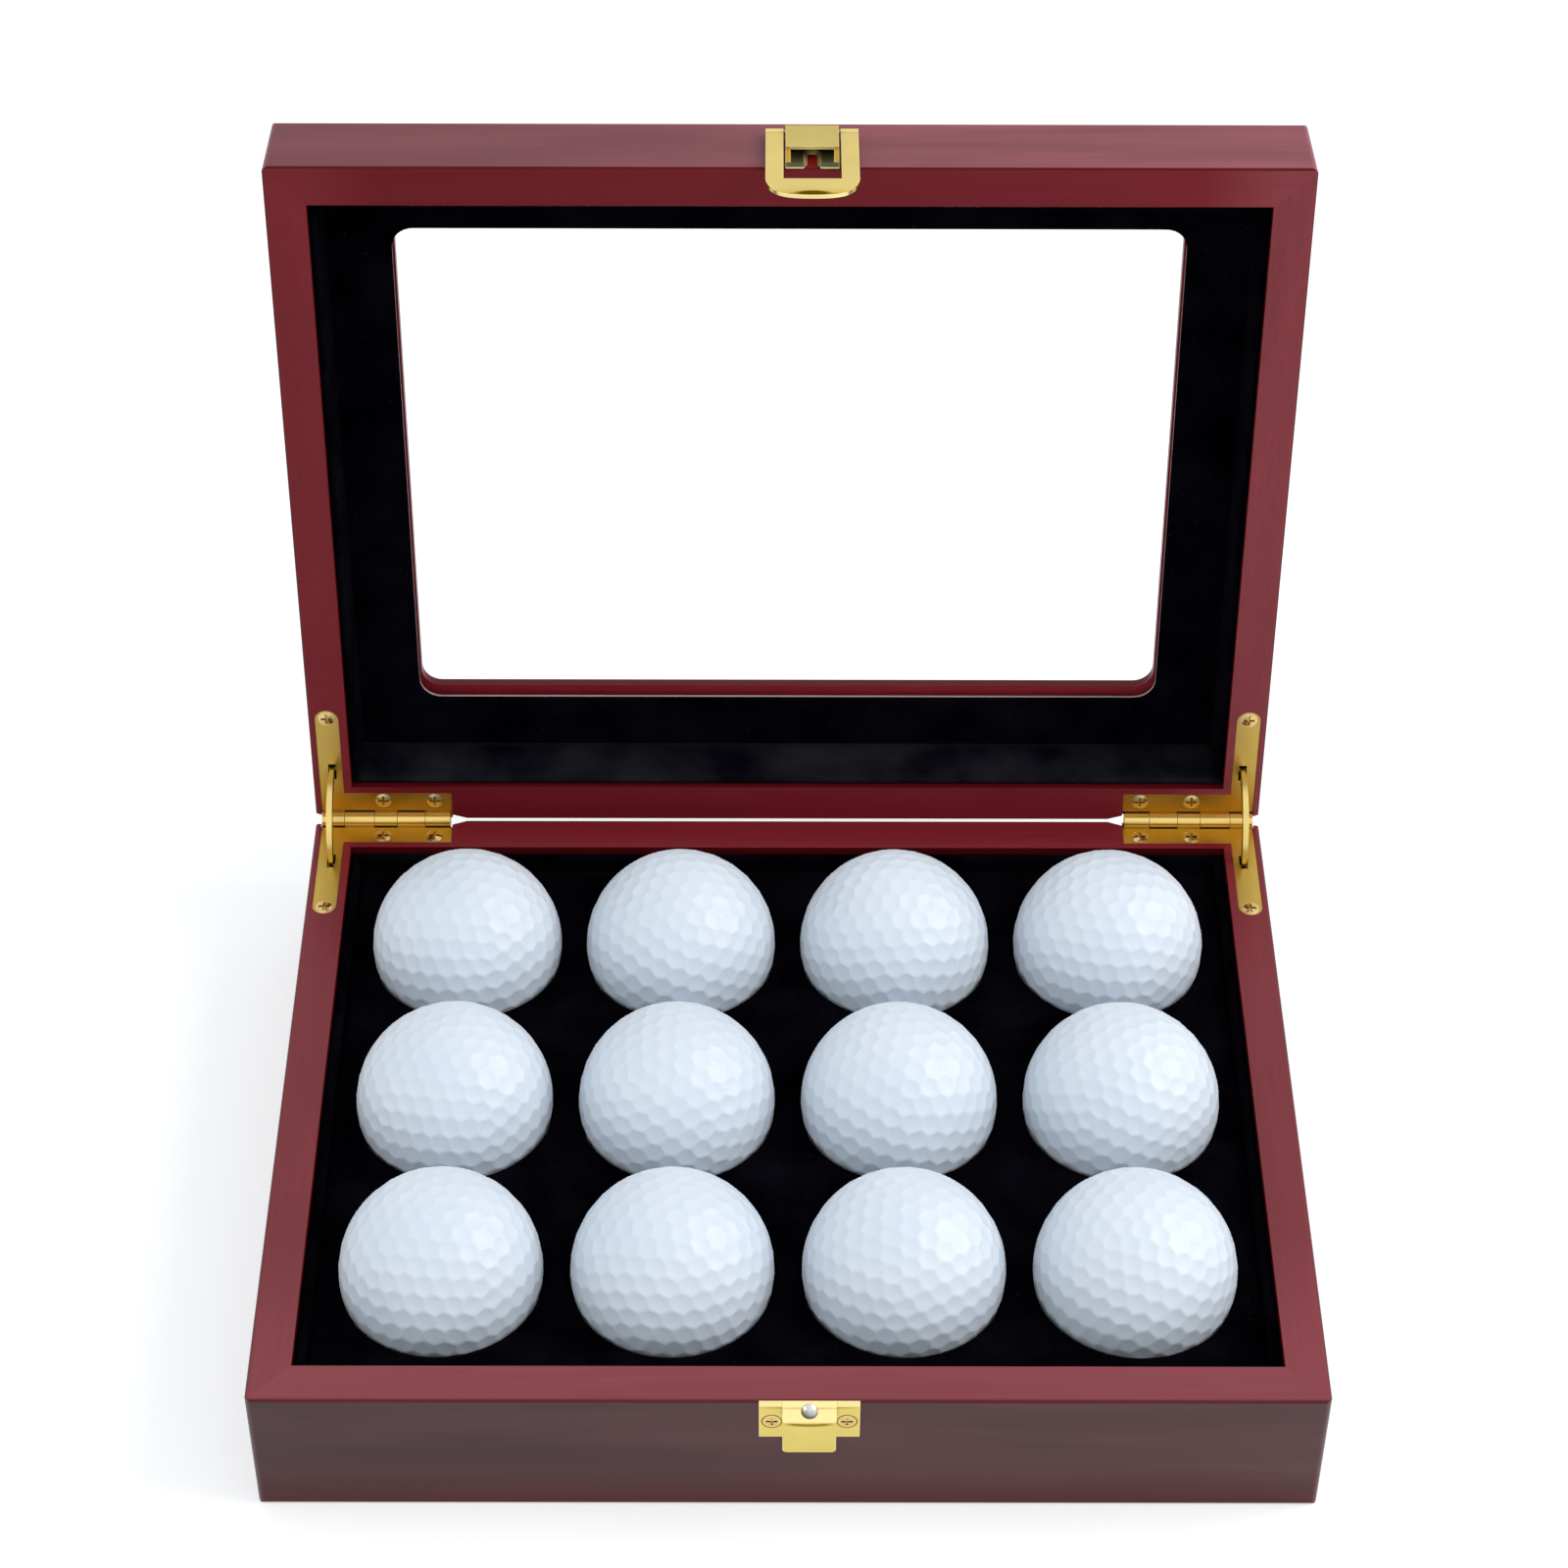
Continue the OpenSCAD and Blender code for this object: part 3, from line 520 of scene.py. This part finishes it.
def hole_line(cx, cy, turn, edge):
    """The points from a cell's edge over the tray's face and down its hole, in one direction."""
    c = math.cos(turn)
    s = math.sin(turn)
    inner = hole_r + lip_r
    line = []
    for k in range(face_rings + 1):
        r = edge + (inner - edge) * k / face_rings
        line.append((cx + r * c, cy + r * s, tray_face(cx + r * c, cy + r * s)))
    for k in range(1, lip_rings + 1):
        bend = math.pi / 2 * k / lip_rings
        r = inner - lip_r * math.sin(bend)
        top = tray_face(cx + inner * c, cy + inner * s)
        line.append((cx + r * c, cy + r * s, top - lip_r * (1 - math.cos(bend))))
    line.append((cx + hole_r * c, cy + hole_r * s, (tray_low.z + tray_high.z) / 2))
    line.append((cx + hole_r * c, cy + hole_r * s, tray_low.z))
    line.append((cx + edge * c, cy + edge * s, tray_low.z))
    return line


def reach(component, low, high):
    """How far a line goes before it meets the cell's side at low or high."""
    if abs(component) < tiny:
        return math.inf
    return (high if component > 0 else low) / component


columns_x = sorted({round(c.x, 5) for c in ball_centres.values()})
rows_y = sorted({round(c.y, 5) for c in ball_centres.values()})
cell_x = between(columns_x, tray_low.x, tray_high.x)
cell_y = between(rows_y, tray_low.y, tray_high.y)
tray_shell = bmesh.new()
for i, cx in enumerate(columns_x):
    for j, cy in enumerate(rows_y):
        sides_x = (cell_x[i] - cx, cell_x[i + 1] - cx)
        sides_y = (cell_y[j] - cy, cell_y[j + 1] - cy)
        angles = [2 * math.pi * k / turns for k in range(turns)]
        angles += [math.atan2(y, x) % (2 * math.pi) for x in sides_x for y in sides_y]
        loops = []
        for turn in sorted(angles):
            edge = min(reach(math.cos(turn), *sides_x), reach(math.sin(turn), *sides_y))
            loops.append([tray_shell.verts.new(p) for p in hole_line(cx, cy, turn, edge)])
        for a, b in zip(loops, loops[1:] + loops[:1]):
            for k in range(len(a) - 1):
                tray_shell.faces.new((a[k], a[k + 1], b[k + 1], b[k]))
bmesh.ops.remove_doubles(tray_shell, verts=tray_shell.verts, dist=weld_distance)
open_edges = [e for e in tray_shell.edges if e.is_boundary]
bmesh.ops.bridge_loops(tray_shell, edges=open_edges)
bmesh.ops.recalc_face_normals(tray_shell, faces=tray_shell.faces)
tray_shell.verts.index_update()
tray_points = [v.co for v in tray_shell.verts]
tray_faces = [[v.index for v in f.verts] for f in tray_shell.faces]
tray = mesh_piece("velvet_tray", tray_points, tray_faces, [base_velvet])
tray_shell.free()
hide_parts("ball_tray")
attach(tray, "base")

foam, add = new_material("grey_foam")
foam_place = add("TexCoord").outputs["Object"]
foam_cells = add("TexVoronoi", {"Vector": foam_place, "Scale": 1400.0}).outputs["Distance"]
foam_relief = add("Bump", {"Height": foam_cells, "Distance": foam_relief_depth})
cover(add, {
    "Base Color": ramp(add, foam_cells, (0.0, foam_dark), (1.0, foam_light)),
    "Roughness": 0.9,
    "Normal": foam_relief.outputs[0],
})
dress("tray_underlay", foam)

# The golf balls: a moulded white cover under clear gloss paint, with shallow dimples packed edge
# to edge so that each is nearly six-sided. Every ball lies in its hole the way it was dropped.
ball_r = (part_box("golf_ball_1")[1].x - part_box("golf_ball_1")[0].x) / 2
dimples_per_edge = 6
points_per_dimple = 8
dimple_depth = 0.32 * MM
dimple_share = 0.85
duller_white = (0.620, 0.685, 0.765)
brighter_white = (0.660, 0.722, 0.793)
paint_roughness = (0.46, 0.54)
golden = (1 + math.sqrt(5)) / 2


def icosahedron():
    """The twelve corners and twenty faces of an icosahedron, corners at distance 1."""
    corners = []
    for a in (-1, 1):
        for b in (-golden, golden):
            corners += [(0, a, b), (a, b, 0), (b, 0, a)]
    corners = np.array(corners) / math.sqrt(1 + golden**2)
    longest_edge = 1.1
    faces = []
    for a in range(12):
        for b in range(a + 1, 12):
            for c in range(b + 1, 12):
                ends = corners[[a, b, c]]
                sides = np.linalg.norm(ends - np.roll(ends, 1, axis=0), axis=1)
                if sides.max() < longest_edge:
                    out = np.dot(np.cross(ends[1] - ends[0], ends[2] - ends[0]), ends[0])
                    faces.append((a, b, c) if out > 0 else (a, c, b))
    return corners, faces


def slerp(a, b, t):
    """The point a share t of the way along the arc from a to b."""
    angle = math.acos(max(-1.0, min(1.0, float(np.dot(a, b)))))
    if angle < tiny:
        return a
    return (math.sin((1 - t) * angle) * a + math.sin(t * angle) * b) / math.sin(angle)


def even_sphere(parts):
    """Points at distance 1 and triangles: each icosahedron edge is divided into equal angles."""
    corners, faces = icosahedron()
    shell = bmesh.new()
    for face in faces:
        a, b, c = corners[list(face)]
        rows = []
        for i in range(parts + 1):
            left = slerp(a, b, i / parts)
            right = slerp(a, c, i / parts)
            rows.append([shell.verts.new(slerp(left, right, j / i if i else 0)) for j in range(i + 1)])
        for i in range(parts):
            for j in range(i + 1):
                shell.faces.new((rows[i][j], rows[i + 1][j], rows[i + 1][j + 1]))
                if j < i:
                    shell.faces.new((rows[i][j], rows[i + 1][j + 1], rows[i][j + 1]))
    bmesh.ops.remove_doubles(shell, verts=shell.verts, dist=0.02 / parts)
    shell.verts.ensure_lookup_table()
    points = np.array([v.co for v in shell.verts])
    triangles = [tuple(v.index for v in f.verts) for f in shell.faces]
    shell.free()
    return points, triangles


def dimpled(points, centres):
    """How far each point lies below the ball's full radius, from 0 on a ridge to 1 in a dimple."""
    depth = np.zeros(len(points))
    batch = 2000
    for start in range(0, len(points), batch):
        near = np.arccos(np.clip(points[start:start + batch] @ centres.T, -1, 1))
        near.sort(axis=1)
        first = near[:, 0]
        second = near[:, 1]
        to_ridge = (second - first) / (second + first)
        depth[start:start + batch] = 1 - (1 - np.clip(to_ridge / dimple_share, 0, 1)) ** 2
    return depth


dimple_centres, _ = even_sphere(dimples_per_edge)
cover_points, cover_faces = even_sphere(dimples_per_edge * points_per_dimple)
cover_depth = dimpled(cover_points, dimple_centres)
cover_radius = (ball_r - dimple_depth * cover_depth)[:, None]

ball_paint, add = new_material("ball_paint")
place = add("TexCoord").outputs["Object"]
cloud = noise(add, place, scale=55.0, detail=3.0)
scuff = noise(add, place, scale=400.0, detail=5.0)
cover(add, {
    "Base Color": ramp(add, cloud, (0.3, duller_white), (0.7, brighter_white)),
    "Roughness": spread(add, scuff, 0.0, 1.0, *paint_roughness),
    "Specular IOR Level": 0.85,
    "Sheen Weight": 0.35,
    "Sheen Roughness": 0.4,
    "Subsurface Weight": 0.08,
    "Subsurface Radius": (1.2 * MM, 1.1 * MM, 1.0 * MM),
})

for number, name in enumerate(sorted(ball_names, key=lambda n: int(n.split("_")[-1]))):
    turn = 0.4 + 1.9 * number
    tilt = 0.35 + 0.83 * number
    lie = Matrix.Rotation(turn, 3, "Z") @ Matrix.Rotation(tilt, 3, "X")
    turned = (cover_points * cover_radius) @ np.array(lie).T + np.array(ball_centres[name])
    ball = mesh_piece("dimpled_" + name, turned.tolist(), cover_faces, [ball_paint])
    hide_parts(name)
    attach(ball, name)

# The brass fittings: stamped sheet, polished and plated, then clear lacquered. The strike on the
# base's front has a hooked tongue, two countersunk screws and a dome-headed steel pin.
brass_sheet = 0.7 * MM
# The width of the painted highlight along brass edges, and the reach of the painted shade in its hollows.
edge_highlight_radius = 0.3 * MM
edge_highlight_share = 0.7
hollow_reach = 2.2 * MM
hollow_share = 0.9
smudge_strength = 0.03
smudge_depth = 0.3 * MM
smudge_dullness = 0.08
brass_grazing = (0.80, 0.62, 0.30)


def plated(name, colour, crevice_shade, edge=None, dull=0.2, tints=(), marks=(), grazing=brass_grazing):
    """Polished metal with faint smudges, a painted shade of the crevice colour where little light
    reaches and a painted highlight of the edge colour along its edges. Each of the tints, which
    lie below the painted highlights, and of the marks, which lie over them, is a mask builder and
    a colour."""
    material, add = new_material(name)
    coords = add("TexCoord")
    place = coords.outputs["Object"]
    tarnish = noise(add, place, scale=120.0, detail=2.0)
    shade = ramp(add, tarnish, (0.3, tuple(c * 0.94 for c in colour)), (0.6, colour))
    for mask, tint in tints:
        shade = blend(add, mask(add, coords), shade, tint)
    # A painted highlight along the edges.
    if edge:
        rounded = add("Bevel", {"Radius": edge_highlight_radius}, samples=6).outputs[0]
        turn = dot(add, rounded, add("NewGeometry").outputs["True Normal"])
        shade = blend(add, spread(add, turn, 0.99, 0.86, 0.0, edge_highlight_share), shade, edge)
    for mask, tint in marks:
        shade = blend(add, mask(add, coords), shade, tint)
    # A painted shade in hollows and creases, where less light reaches.
    hollow = add("AmbientOcclusion", {"Distance": hollow_reach}, samples=8).outputs["AO"]
    shade = blend(add, spread(add, hollow, 0.80, 0.25, 0.0, hollow_share), shade, crevice_shade)

    smudges = noise(add, place, scale=260.0, detail=4.0)
    waves = noise(add, place, scale=300.0, detail=1.0)
    cover(add, {
        "Base Color": shade,
        "Metallic": 1.0,
        "Roughness": spread(add, smudges, 0.3, 0.7, dull, dull + smudge_dullness),
        "Specular Tint": grazing,
        "Normal": bump(add, waves, smudge_strength, smudge_depth),
    })
    return material


def facing(direction, start, full):
    """A mask for faces that face direction: none at the cosine start, whole at full."""

    def mask(add, coords):
        return spread(add, dot(add, coords.outputs["Normal"], direction), start, full)

    return mask


def patch(middle, half_size, start, full):
    """A mask for an oval patch, none at the share start of its half sizes, whole at full."""

    def mask(add, coords):
        return spread(add, oval_reach(add, coords.outputs["Object"], middle, half_size), start, full)

    return mask


endless = 1e3


def ring(middle, radius, half_width):
    """A mask for a ring on a face that looks along Y."""

    def mask(add, coords):
        across = patch(middle, (2 * radius, endless, 2 * radius), 0.0, 1.0)(add, coords)
        apart = maths(add, "ABSOLUTE", maths(add, "SUBTRACT", across, 0.5))
        line = half_width / radius / 2
        return spread(add, apart, line, 0.3 * line)

    return mask


# Painted light on the strike: a highlight on its edges and its faces turned up, painted shadows under the
# hook and round the ear screws' heads, and painted shade under the top fold.
pale_brass = (0.98, 0.85, 0.46)
painted_top_light = (0.98, 0.81, 0.36)
brass_shadow = (0.30, 0.215, 0.035)
fold_shade = (0.42, 0.31, 0.06)
strike_low, strike_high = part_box("strike_plate")
strike_middle = (strike_low.x + strike_high.x) / 2
strike_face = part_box("base_front_rail")[0].y - brass_sheet
rim_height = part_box("base_front_rail")[1].z
hook_depth = 6.9 * MM
fold_depth = 1.4 * MM
ear_screw_out = 7.6 * MM
ear_screw_depth = 5.8 * MM
ear_screw_r = 1.95 * MM
ear_line_half_width = 0.35 * MM


def on_strike(right, down):
    """A place on the strike's face, from its middle and from the base's rim."""
    return Vector((strike_middle + right, strike_face, rim_height - down))


# Painted shadows under the hook, under the top fold and round each ear screw's head.
shadow_under_hook = patch(on_strike(0, hook_depth), (5.6 * MM, 0.5 * MM, 0.85 * MM), 1.0, 0.6)
shade_under_fold = patch(on_strike(0, fold_depth), (12 * MM, 0.4 * MM, 0.45 * MM), 1.0, 0.5)
screw_shadow_rings = [
    ring(on_strike(right, ear_screw_depth), ear_screw_r, ear_line_half_width)
    for right in (-ear_screw_out, ear_screw_out)
]
# The strike's faces turned up are painted lighter, as the light falls from above.
strike_brass = plated(
    "strike_brass", (0.73, 0.59, 0.178), crevice_shade=(0.16, 0.10, 0.012), edge=pale_brass,
    tints=[(facing(upward, 0.15, 0.40), painted_top_light)],
    marks=[(shadow_under_hook, brass_shadow), (shade_under_fold, fold_shade), *[(mask, brass_shadow) for mask in screw_shadow_rings]],
)
screw_brass = plated("screw_brass", (0.68, 0.49, 0.19), crevice_shade=(0.42, 0.25, 0.06), edge=(0.95, 0.78, 0.44))
# The steel dome is painted dark on the faces turned away from the upper right, a painted shade and dark
# reflection.
steel = plated(
    "bright_steel", (0.72, 0.72, 0.70), crevice_shade=(0.10, 0.10, 0.09), dull=0.22, grazing=(0.9, 0.9, 0.9),
    tints=[(facing((0.35, 0, 0.94), 0.80, 0.0), (0.13, 0.12, 0.09))],
)
dress("strike_plate", strike_brass)
dress("strike_screws", screw_brass)
dress("strike_pin", steel)

# The stay hinges: two leaves each, let into the rims, with five knuckles on a pin and three
# screws a leaf. A curved stay runs through a slot in both leaves and stops the lid past upright.
lid_hinge = next(j for j in frame["joints"] if j["name"] == "lid_hinge")
hinge_point = Vector(lid_hinge["pos_m"])
# Painted light on the leaves: near the pin the lower leaf is painted lighter and the upper one a darker
# amber, and the barrel carries a painted highlight and two painted dark reflections.
hinge_painted_light = {"lower": (0.73, 0.475, 0.072), "upper": (0.54, 0.29, 0.034)}
barrel_highlight = (0.86, 0.62, 0.20)
barrel_shade = (0.22, 0.095, 0.010)
band_tones = [(0.0, 0.0), (0.09, 0.1), (0.17, 0.9), (0.30, 0.1), (0.62, 0.0), (0.74, 0.9), (0.86, 0.1)]


def near_pin(start, full):
    """A mask for what is near the hinge line: none at the distance start, whole at full."""
    return patch(hinge_point, (endless, 1, 1), start, full)


on_barrel = near_pin(2.25 * MM, 2.05 * MM)


def barrel_bands(add, coords):
    """A mask for the two painted dark reflections along a barrel, one near each leaf."""
    place = coords.outputs["Object"]
    offset = add("VectorMath", {0: place, 1: hinge_point}, operation="SUBTRACT")
    parts = add("SeparateXYZ", {0: offset.outputs[0]}).outputs
    round_pin = maths(add, "ARCTAN2", parts["Z"], maths(add, "MULTIPLY", parts["Y"], -1))
    bands = ramp(add, spread(add, round_pin, 0.0, math.pi / 2), *band_tones)
    return maths(add, "MULTIPLY", bands, on_barrel(add, coords))


leaf_brass = {
    level: plated(
        f"{level}_leaf_brass", (0.59, 0.420, 0.105), crevice_shade=(0.17, 0.060, 0.008),
        edge=(0.72, 0.54, 0.18), dull=0.32,
        tints=[
            (near_pin(14 * MM, 4 * MM), near_pin_light),
            (on_barrel, barrel_highlight),
            (barrel_bands, barrel_shade),
        ],
    )
    for level, near_pin_light in hinge_painted_light.items()
}
stay_brass = plated(
    "stay_brass", (0.80, 0.63, 0.21), crevice_shade=(0.36, 0.22, 0.035), edge=(0.95, 0.80, 0.38), dull=0.26
)
for side in ("left", "right"):
    for level in ("lower", "upper"):
        dress(f"{side}_{level}_leaf", leaf_brass[level])
    dress(f"{side}_hinge_pin", leaf_brass["lower"])
    dress(f"{side}_stay", stay_brass)
dress("lower_leaf_screws", screw_brass)
dress("upper_leaf_screws", screw_brass)

# The lid: four mitred rails like the base's, and a thin top panel with a rounded window.
# The lid stands open 97 degrees, so everything made for it is turned from closed to open.
open_angle = math.radians(max(abs(a) for a in lid_hinge["range_deg"]))
lean = open_angle - math.pi / 2
opened = (
    Matrix.Translation(hinge_point)
    @ Matrix.Rotation(-open_angle, 4, "X")
    @ Matrix.Translation(-hinge_point)
)
closed = opened.inverted()
toward_viewer = tuple(opened.to_3x3() @ Vector((0, 0, -1)))
lid_core = tuple(opened @ Vector((0, 0, 45 * MM)))
lid_tones = ((0.186, 0.048, 0.062), (0.250, 0.065, 0.082))
# The lid's rim tones hold painted light: its side rims are painted lighter than the rest, the right one most.
lid_rim_with_light = ("X", [
    (-102 * MM, (0.190, 0.0185, 0.0245)),
    (-86 * MM, (0.145, 0.0082, 0.0125)),
    (86 * MM, (0.180, 0.0138, 0.0197)),
    (102 * MM, (0.240, 0.0440, 0.0520)),
])
lid_gloss = 0.10
# The shadow that the latch casts on the lid's front wood, painted on.
latch_middle = Vector((4.6, -84, 39)) * MM
latch_half_size = (5.4 * MM, 8 * MM, 3 * MM)
latch_shaded_red = (0.150, 0.0070, 0.0035)
latch_shadow_patch = (tuple(opened @ latch_middle), latch_half_size, latch_shaded_red)


def lid_wood(name, along, **rest):
    """The wood of one side of the lid."""
    return stained_wood(name, along, toward_viewer, lid_rim_with_light, lid_tones, lid_gloss, lid_core, **rest)


lid_front = lid_wood("lid_wood_front", "X", covered=latch_shadow_patch)
lid_back = lid_wood("lid_wood_back", "X")
lid_sides = lid_wood("lid_wood_sides", "Z", lean=-lean)
dress("lid_front_rail", lid_front)
dress("lid_back_rail", lid_back)
dress("lid_left_rail", lid_sides)
dress("lid_right_rail", lid_sides)
dress("lid_top_panel", lid_back)

# The window: a sheet of clear float glass laid on the top panel from inside. Light passes
# through it without a shadow, and its surface mirrors only a little.
glass, add = new_material("clear_glass")
pane = add("BsdfPrincipled", {
    "Base Color": (1, 1, 1),
    "Roughness": 0.0,
    "IOR": 1.06,
    "Transmission Weight": 1.0,
})
clear = add("BsdfTransparent")
casting_shadow = add("LightPath").outputs["Is Shadow Ray"]
glass_mix = add("MixShader", {0: casting_shadow, 1: pane.outputs[0], 2: clear.outputs[0]})
add("OutputMaterial", {"Surface": glass_mix.outputs[0]})
dress("window_glass", glass)

# The velvet board: a card frame wrapped in velvet that holds the glass in. The card's pale cut
# edge shows round the window. Wrapped strips line the lid's walls, the lowest of them dusty.
lid_velvet = velvet_pile("velvet_of_lid", shade=1.2)
dusty_velvet = velvet_pile("velvet_of_lid_foot", shade=2.5, dust=0.65)
for side in ("front", "back", "left", "right"):
    pile = dusty_velvet if side == "back" else lid_velvet
    velvet_strip(f"lid_{side}_lining", "lid", pile, free_end=-1, opened=opened)

card_dark = (0.26, 0.17, 0.175)
card_pale = (0.50, 0.37, 0.37)
card, add = new_material("card_edge")
fibre = noise(add, add("TexCoord").outputs["Object"], scale=1800.0, detail=2.0)
cover(add, {
    "Base Color": ramp(add, fibre, (0.0, card_dark), (1.0, card_pale)),
    "Roughness": 0.8,
})

board_low, board_high = corners_of("lid_velvet_board", closed)
board_margin = 5 * MM
closed_points = [closed @ v.co for v in frame["nodes"]["lid_velvet_board"].data.vertices]
opening = [
    p
    for p in closed_points
    if board_low.x + board_margin < p.x < board_high.x - board_margin
    and board_low.y + board_margin < p.y < board_high.y - board_margin
]
window_half_w = max(p.x for p in opening)
window_near = max(p.y for p in opening)
window_far = min(p.y for p in opening)
window_middle_y = (window_near + window_far) / 2
window_r = 4.9 * MM
corner_steps = 8
board_rings = 5
roll = 0.45 * MM
wrapped_share = 0.55


def window_loops():
    """Matching loops round the window and round the board's outer edge, anticlockwise."""
    corners = [
        (window_half_w, window_near, board_high.x, board_high.y, 0),
        (-window_half_w, window_near, board_low.x, board_high.y, 90),
        (-window_half_w, window_far, board_low.x, board_low.y, 180),
        (window_half_w, window_far, board_high.x, board_low.y, 270),
    ]
    inner = []
    outer = []
    half = corner_steps // 2
    for x, y, board_x, board_y, start in corners:
        cx = x - math.copysign(window_r, x)
        cy = y - math.copysign(window_r, y - window_middle_y)
        for k in range(corner_steps + 1):
            a = math.radians(start + 90 * k / corner_steps)
            inner.append((cx + window_r * math.cos(a), cy + window_r * math.sin(a)))
            share = (k if k <= half else corner_steps - k) / half
            vertical = (k <= half) == (start in (0, 180))
            if vertical:
                outer.append((board_x, cy + (board_y - cy) * share))
            else:
                outer.append((cx + (board_x - cx) * share, board_y))
    return inner, outer


def away_from_window(point, distance):
    """point moved away from the window's middle by distance along each axis."""
    x, y = point
    return x + math.copysign(distance, x), y + math.copysign(distance, y - window_middle_y)


inner, outer = window_loops()
rings = []
for k in range(board_rings):
    edge = [Vector(o).lerp(Vector(i), k / board_rings) for i, o in zip(inner, outer)]
    rings.append([(p.x, p.y, board_low.z) for p in edge])
rings.append([(*away_from_window(i, roll), board_low.z) for i in inner])
rings.append([(*away_from_window(i, roll * 0.3), board_low.z + roll * 0.3) for i in inner])
rings.append([(*i, board_low.z + wrapped_share * (board_high.z - board_low.z)) for i in inner])
last_velvet_ring = len(rings) - 1
rings.append([(*i, board_high.z) for i in inner])
rings.append([(*o, board_high.z) for o in outer])
points = [opened @ Vector(p) for r in rings for p in r]
count = len(inner)
faces = []
face_kinds = []
for r in range(len(rings)):
    this_ring = r * count
    next_ring = (r + 1) % len(rings) * count
    for k in range(count):
        m = (k + 1) % count
        faces.append((this_ring + k, this_ring + m, next_ring + m, next_ring + k))
        face_kinds.append(1 if r == last_velvet_ring else 0)
board = mesh_piece("velvet_board", points, faces, [lid_velvet, card], smooth=False)
board.data.polygons.foreach_set("material_index", face_kinds)
set_outward(board)
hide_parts("lid_velvet_board")
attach(board, "lid")

# The latch: a stamped bail with a curled finger lip swings on a pin through a folded plate, which
# two small nails hold to the lid's front. Shut, the bail hangs over the strike's hook.
outward = opened.to_3x3() @ Vector((0, -1, 0))
latch_low, latch_high = corners_of("latch_bail", closed)
latch_x = (latch_low.x + latch_high.x) / 2
front_face_y = corners_of("lid_front_rail", closed)[0].y
# Painted dark reflections: plate_shade on the plate's flat face under the bridge, and lip_shade in the bail's
# curled lip.
plate_shade = (0.085, 0.090, 0.048)
cheek_amber = (0.50, 0.30, 0.03)
cheek_offset = 5.1 * MM
cheek_out = 1.75 * MM
cheek_height = 38 * MM
cheek_half_size = (0.9 * MM, 2.6 * MM, 1.3 * MM)
lip_shade = (0.055, 0.038, 0.004)
lip_in = 0.4 * MM
lip_up = 2.3 * MM
lip_half_size = (4.4 * MM, 2.0 * MM, 2.0 * MM)


def shaded_plate_face(add, coords):
    """A mask for the plate's flat face under the bridge, painted with dark reflection and shade."""
    height = dot(add, coords.outputs["Object"], outward)
    level = outward @ (opened @ Vector((latch_x, front_face_y - brass_sheet, 0)))
    low = spread(add, height, level + 0.15 * MM, level + 0.05 * MM)
    return maths(add, "MULTIPLY", low, facing(outward, 0.80, 0.90)(add, coords))


def bridge_cheek(offset):
    """A mask for one of the bridge's two cheeks."""
    middle = opened @ Vector((latch_x + offset, front_face_y - cheek_out, cheek_height))
    return patch(middle, cheek_half_size, 1.0, 0.8)


plate_brass = plated(
    "plate_brass", (0.61, 0.51, 0.200), crevice_shade=(0.30, 0.275, 0.14), edge=(0.95, 0.82, 0.48), dull=0.45,
    tints=[
        (shaded_plate_face, plate_shade),
        (bridge_cheek(-cheek_offset), cheek_amber),
        (bridge_cheek(cheek_offset), cheek_amber),
    ],
)
# A painted dark reflection in the bail's curled lip.
lip_middle = opened @ Vector((latch_x, latch_low.y + lip_in, latch_low.z + lip_up))
lip_reflection_patch = patch(lip_middle, lip_half_size, 1.0, 0.6)
bail_brass = plated(
    "bail_brass", (0.79, 0.65, 0.265), crevice_shade=(0.24, 0.16, 0.02), edge=(1.0, 0.90, 0.55),
    marks=[(lip_reflection_patch, lip_shade)],
)
for node in ("latch_plate", "latch_nails", "latch_pivot"):
    dress(node, plate_brass)
dress("latch_bail", bail_brass)
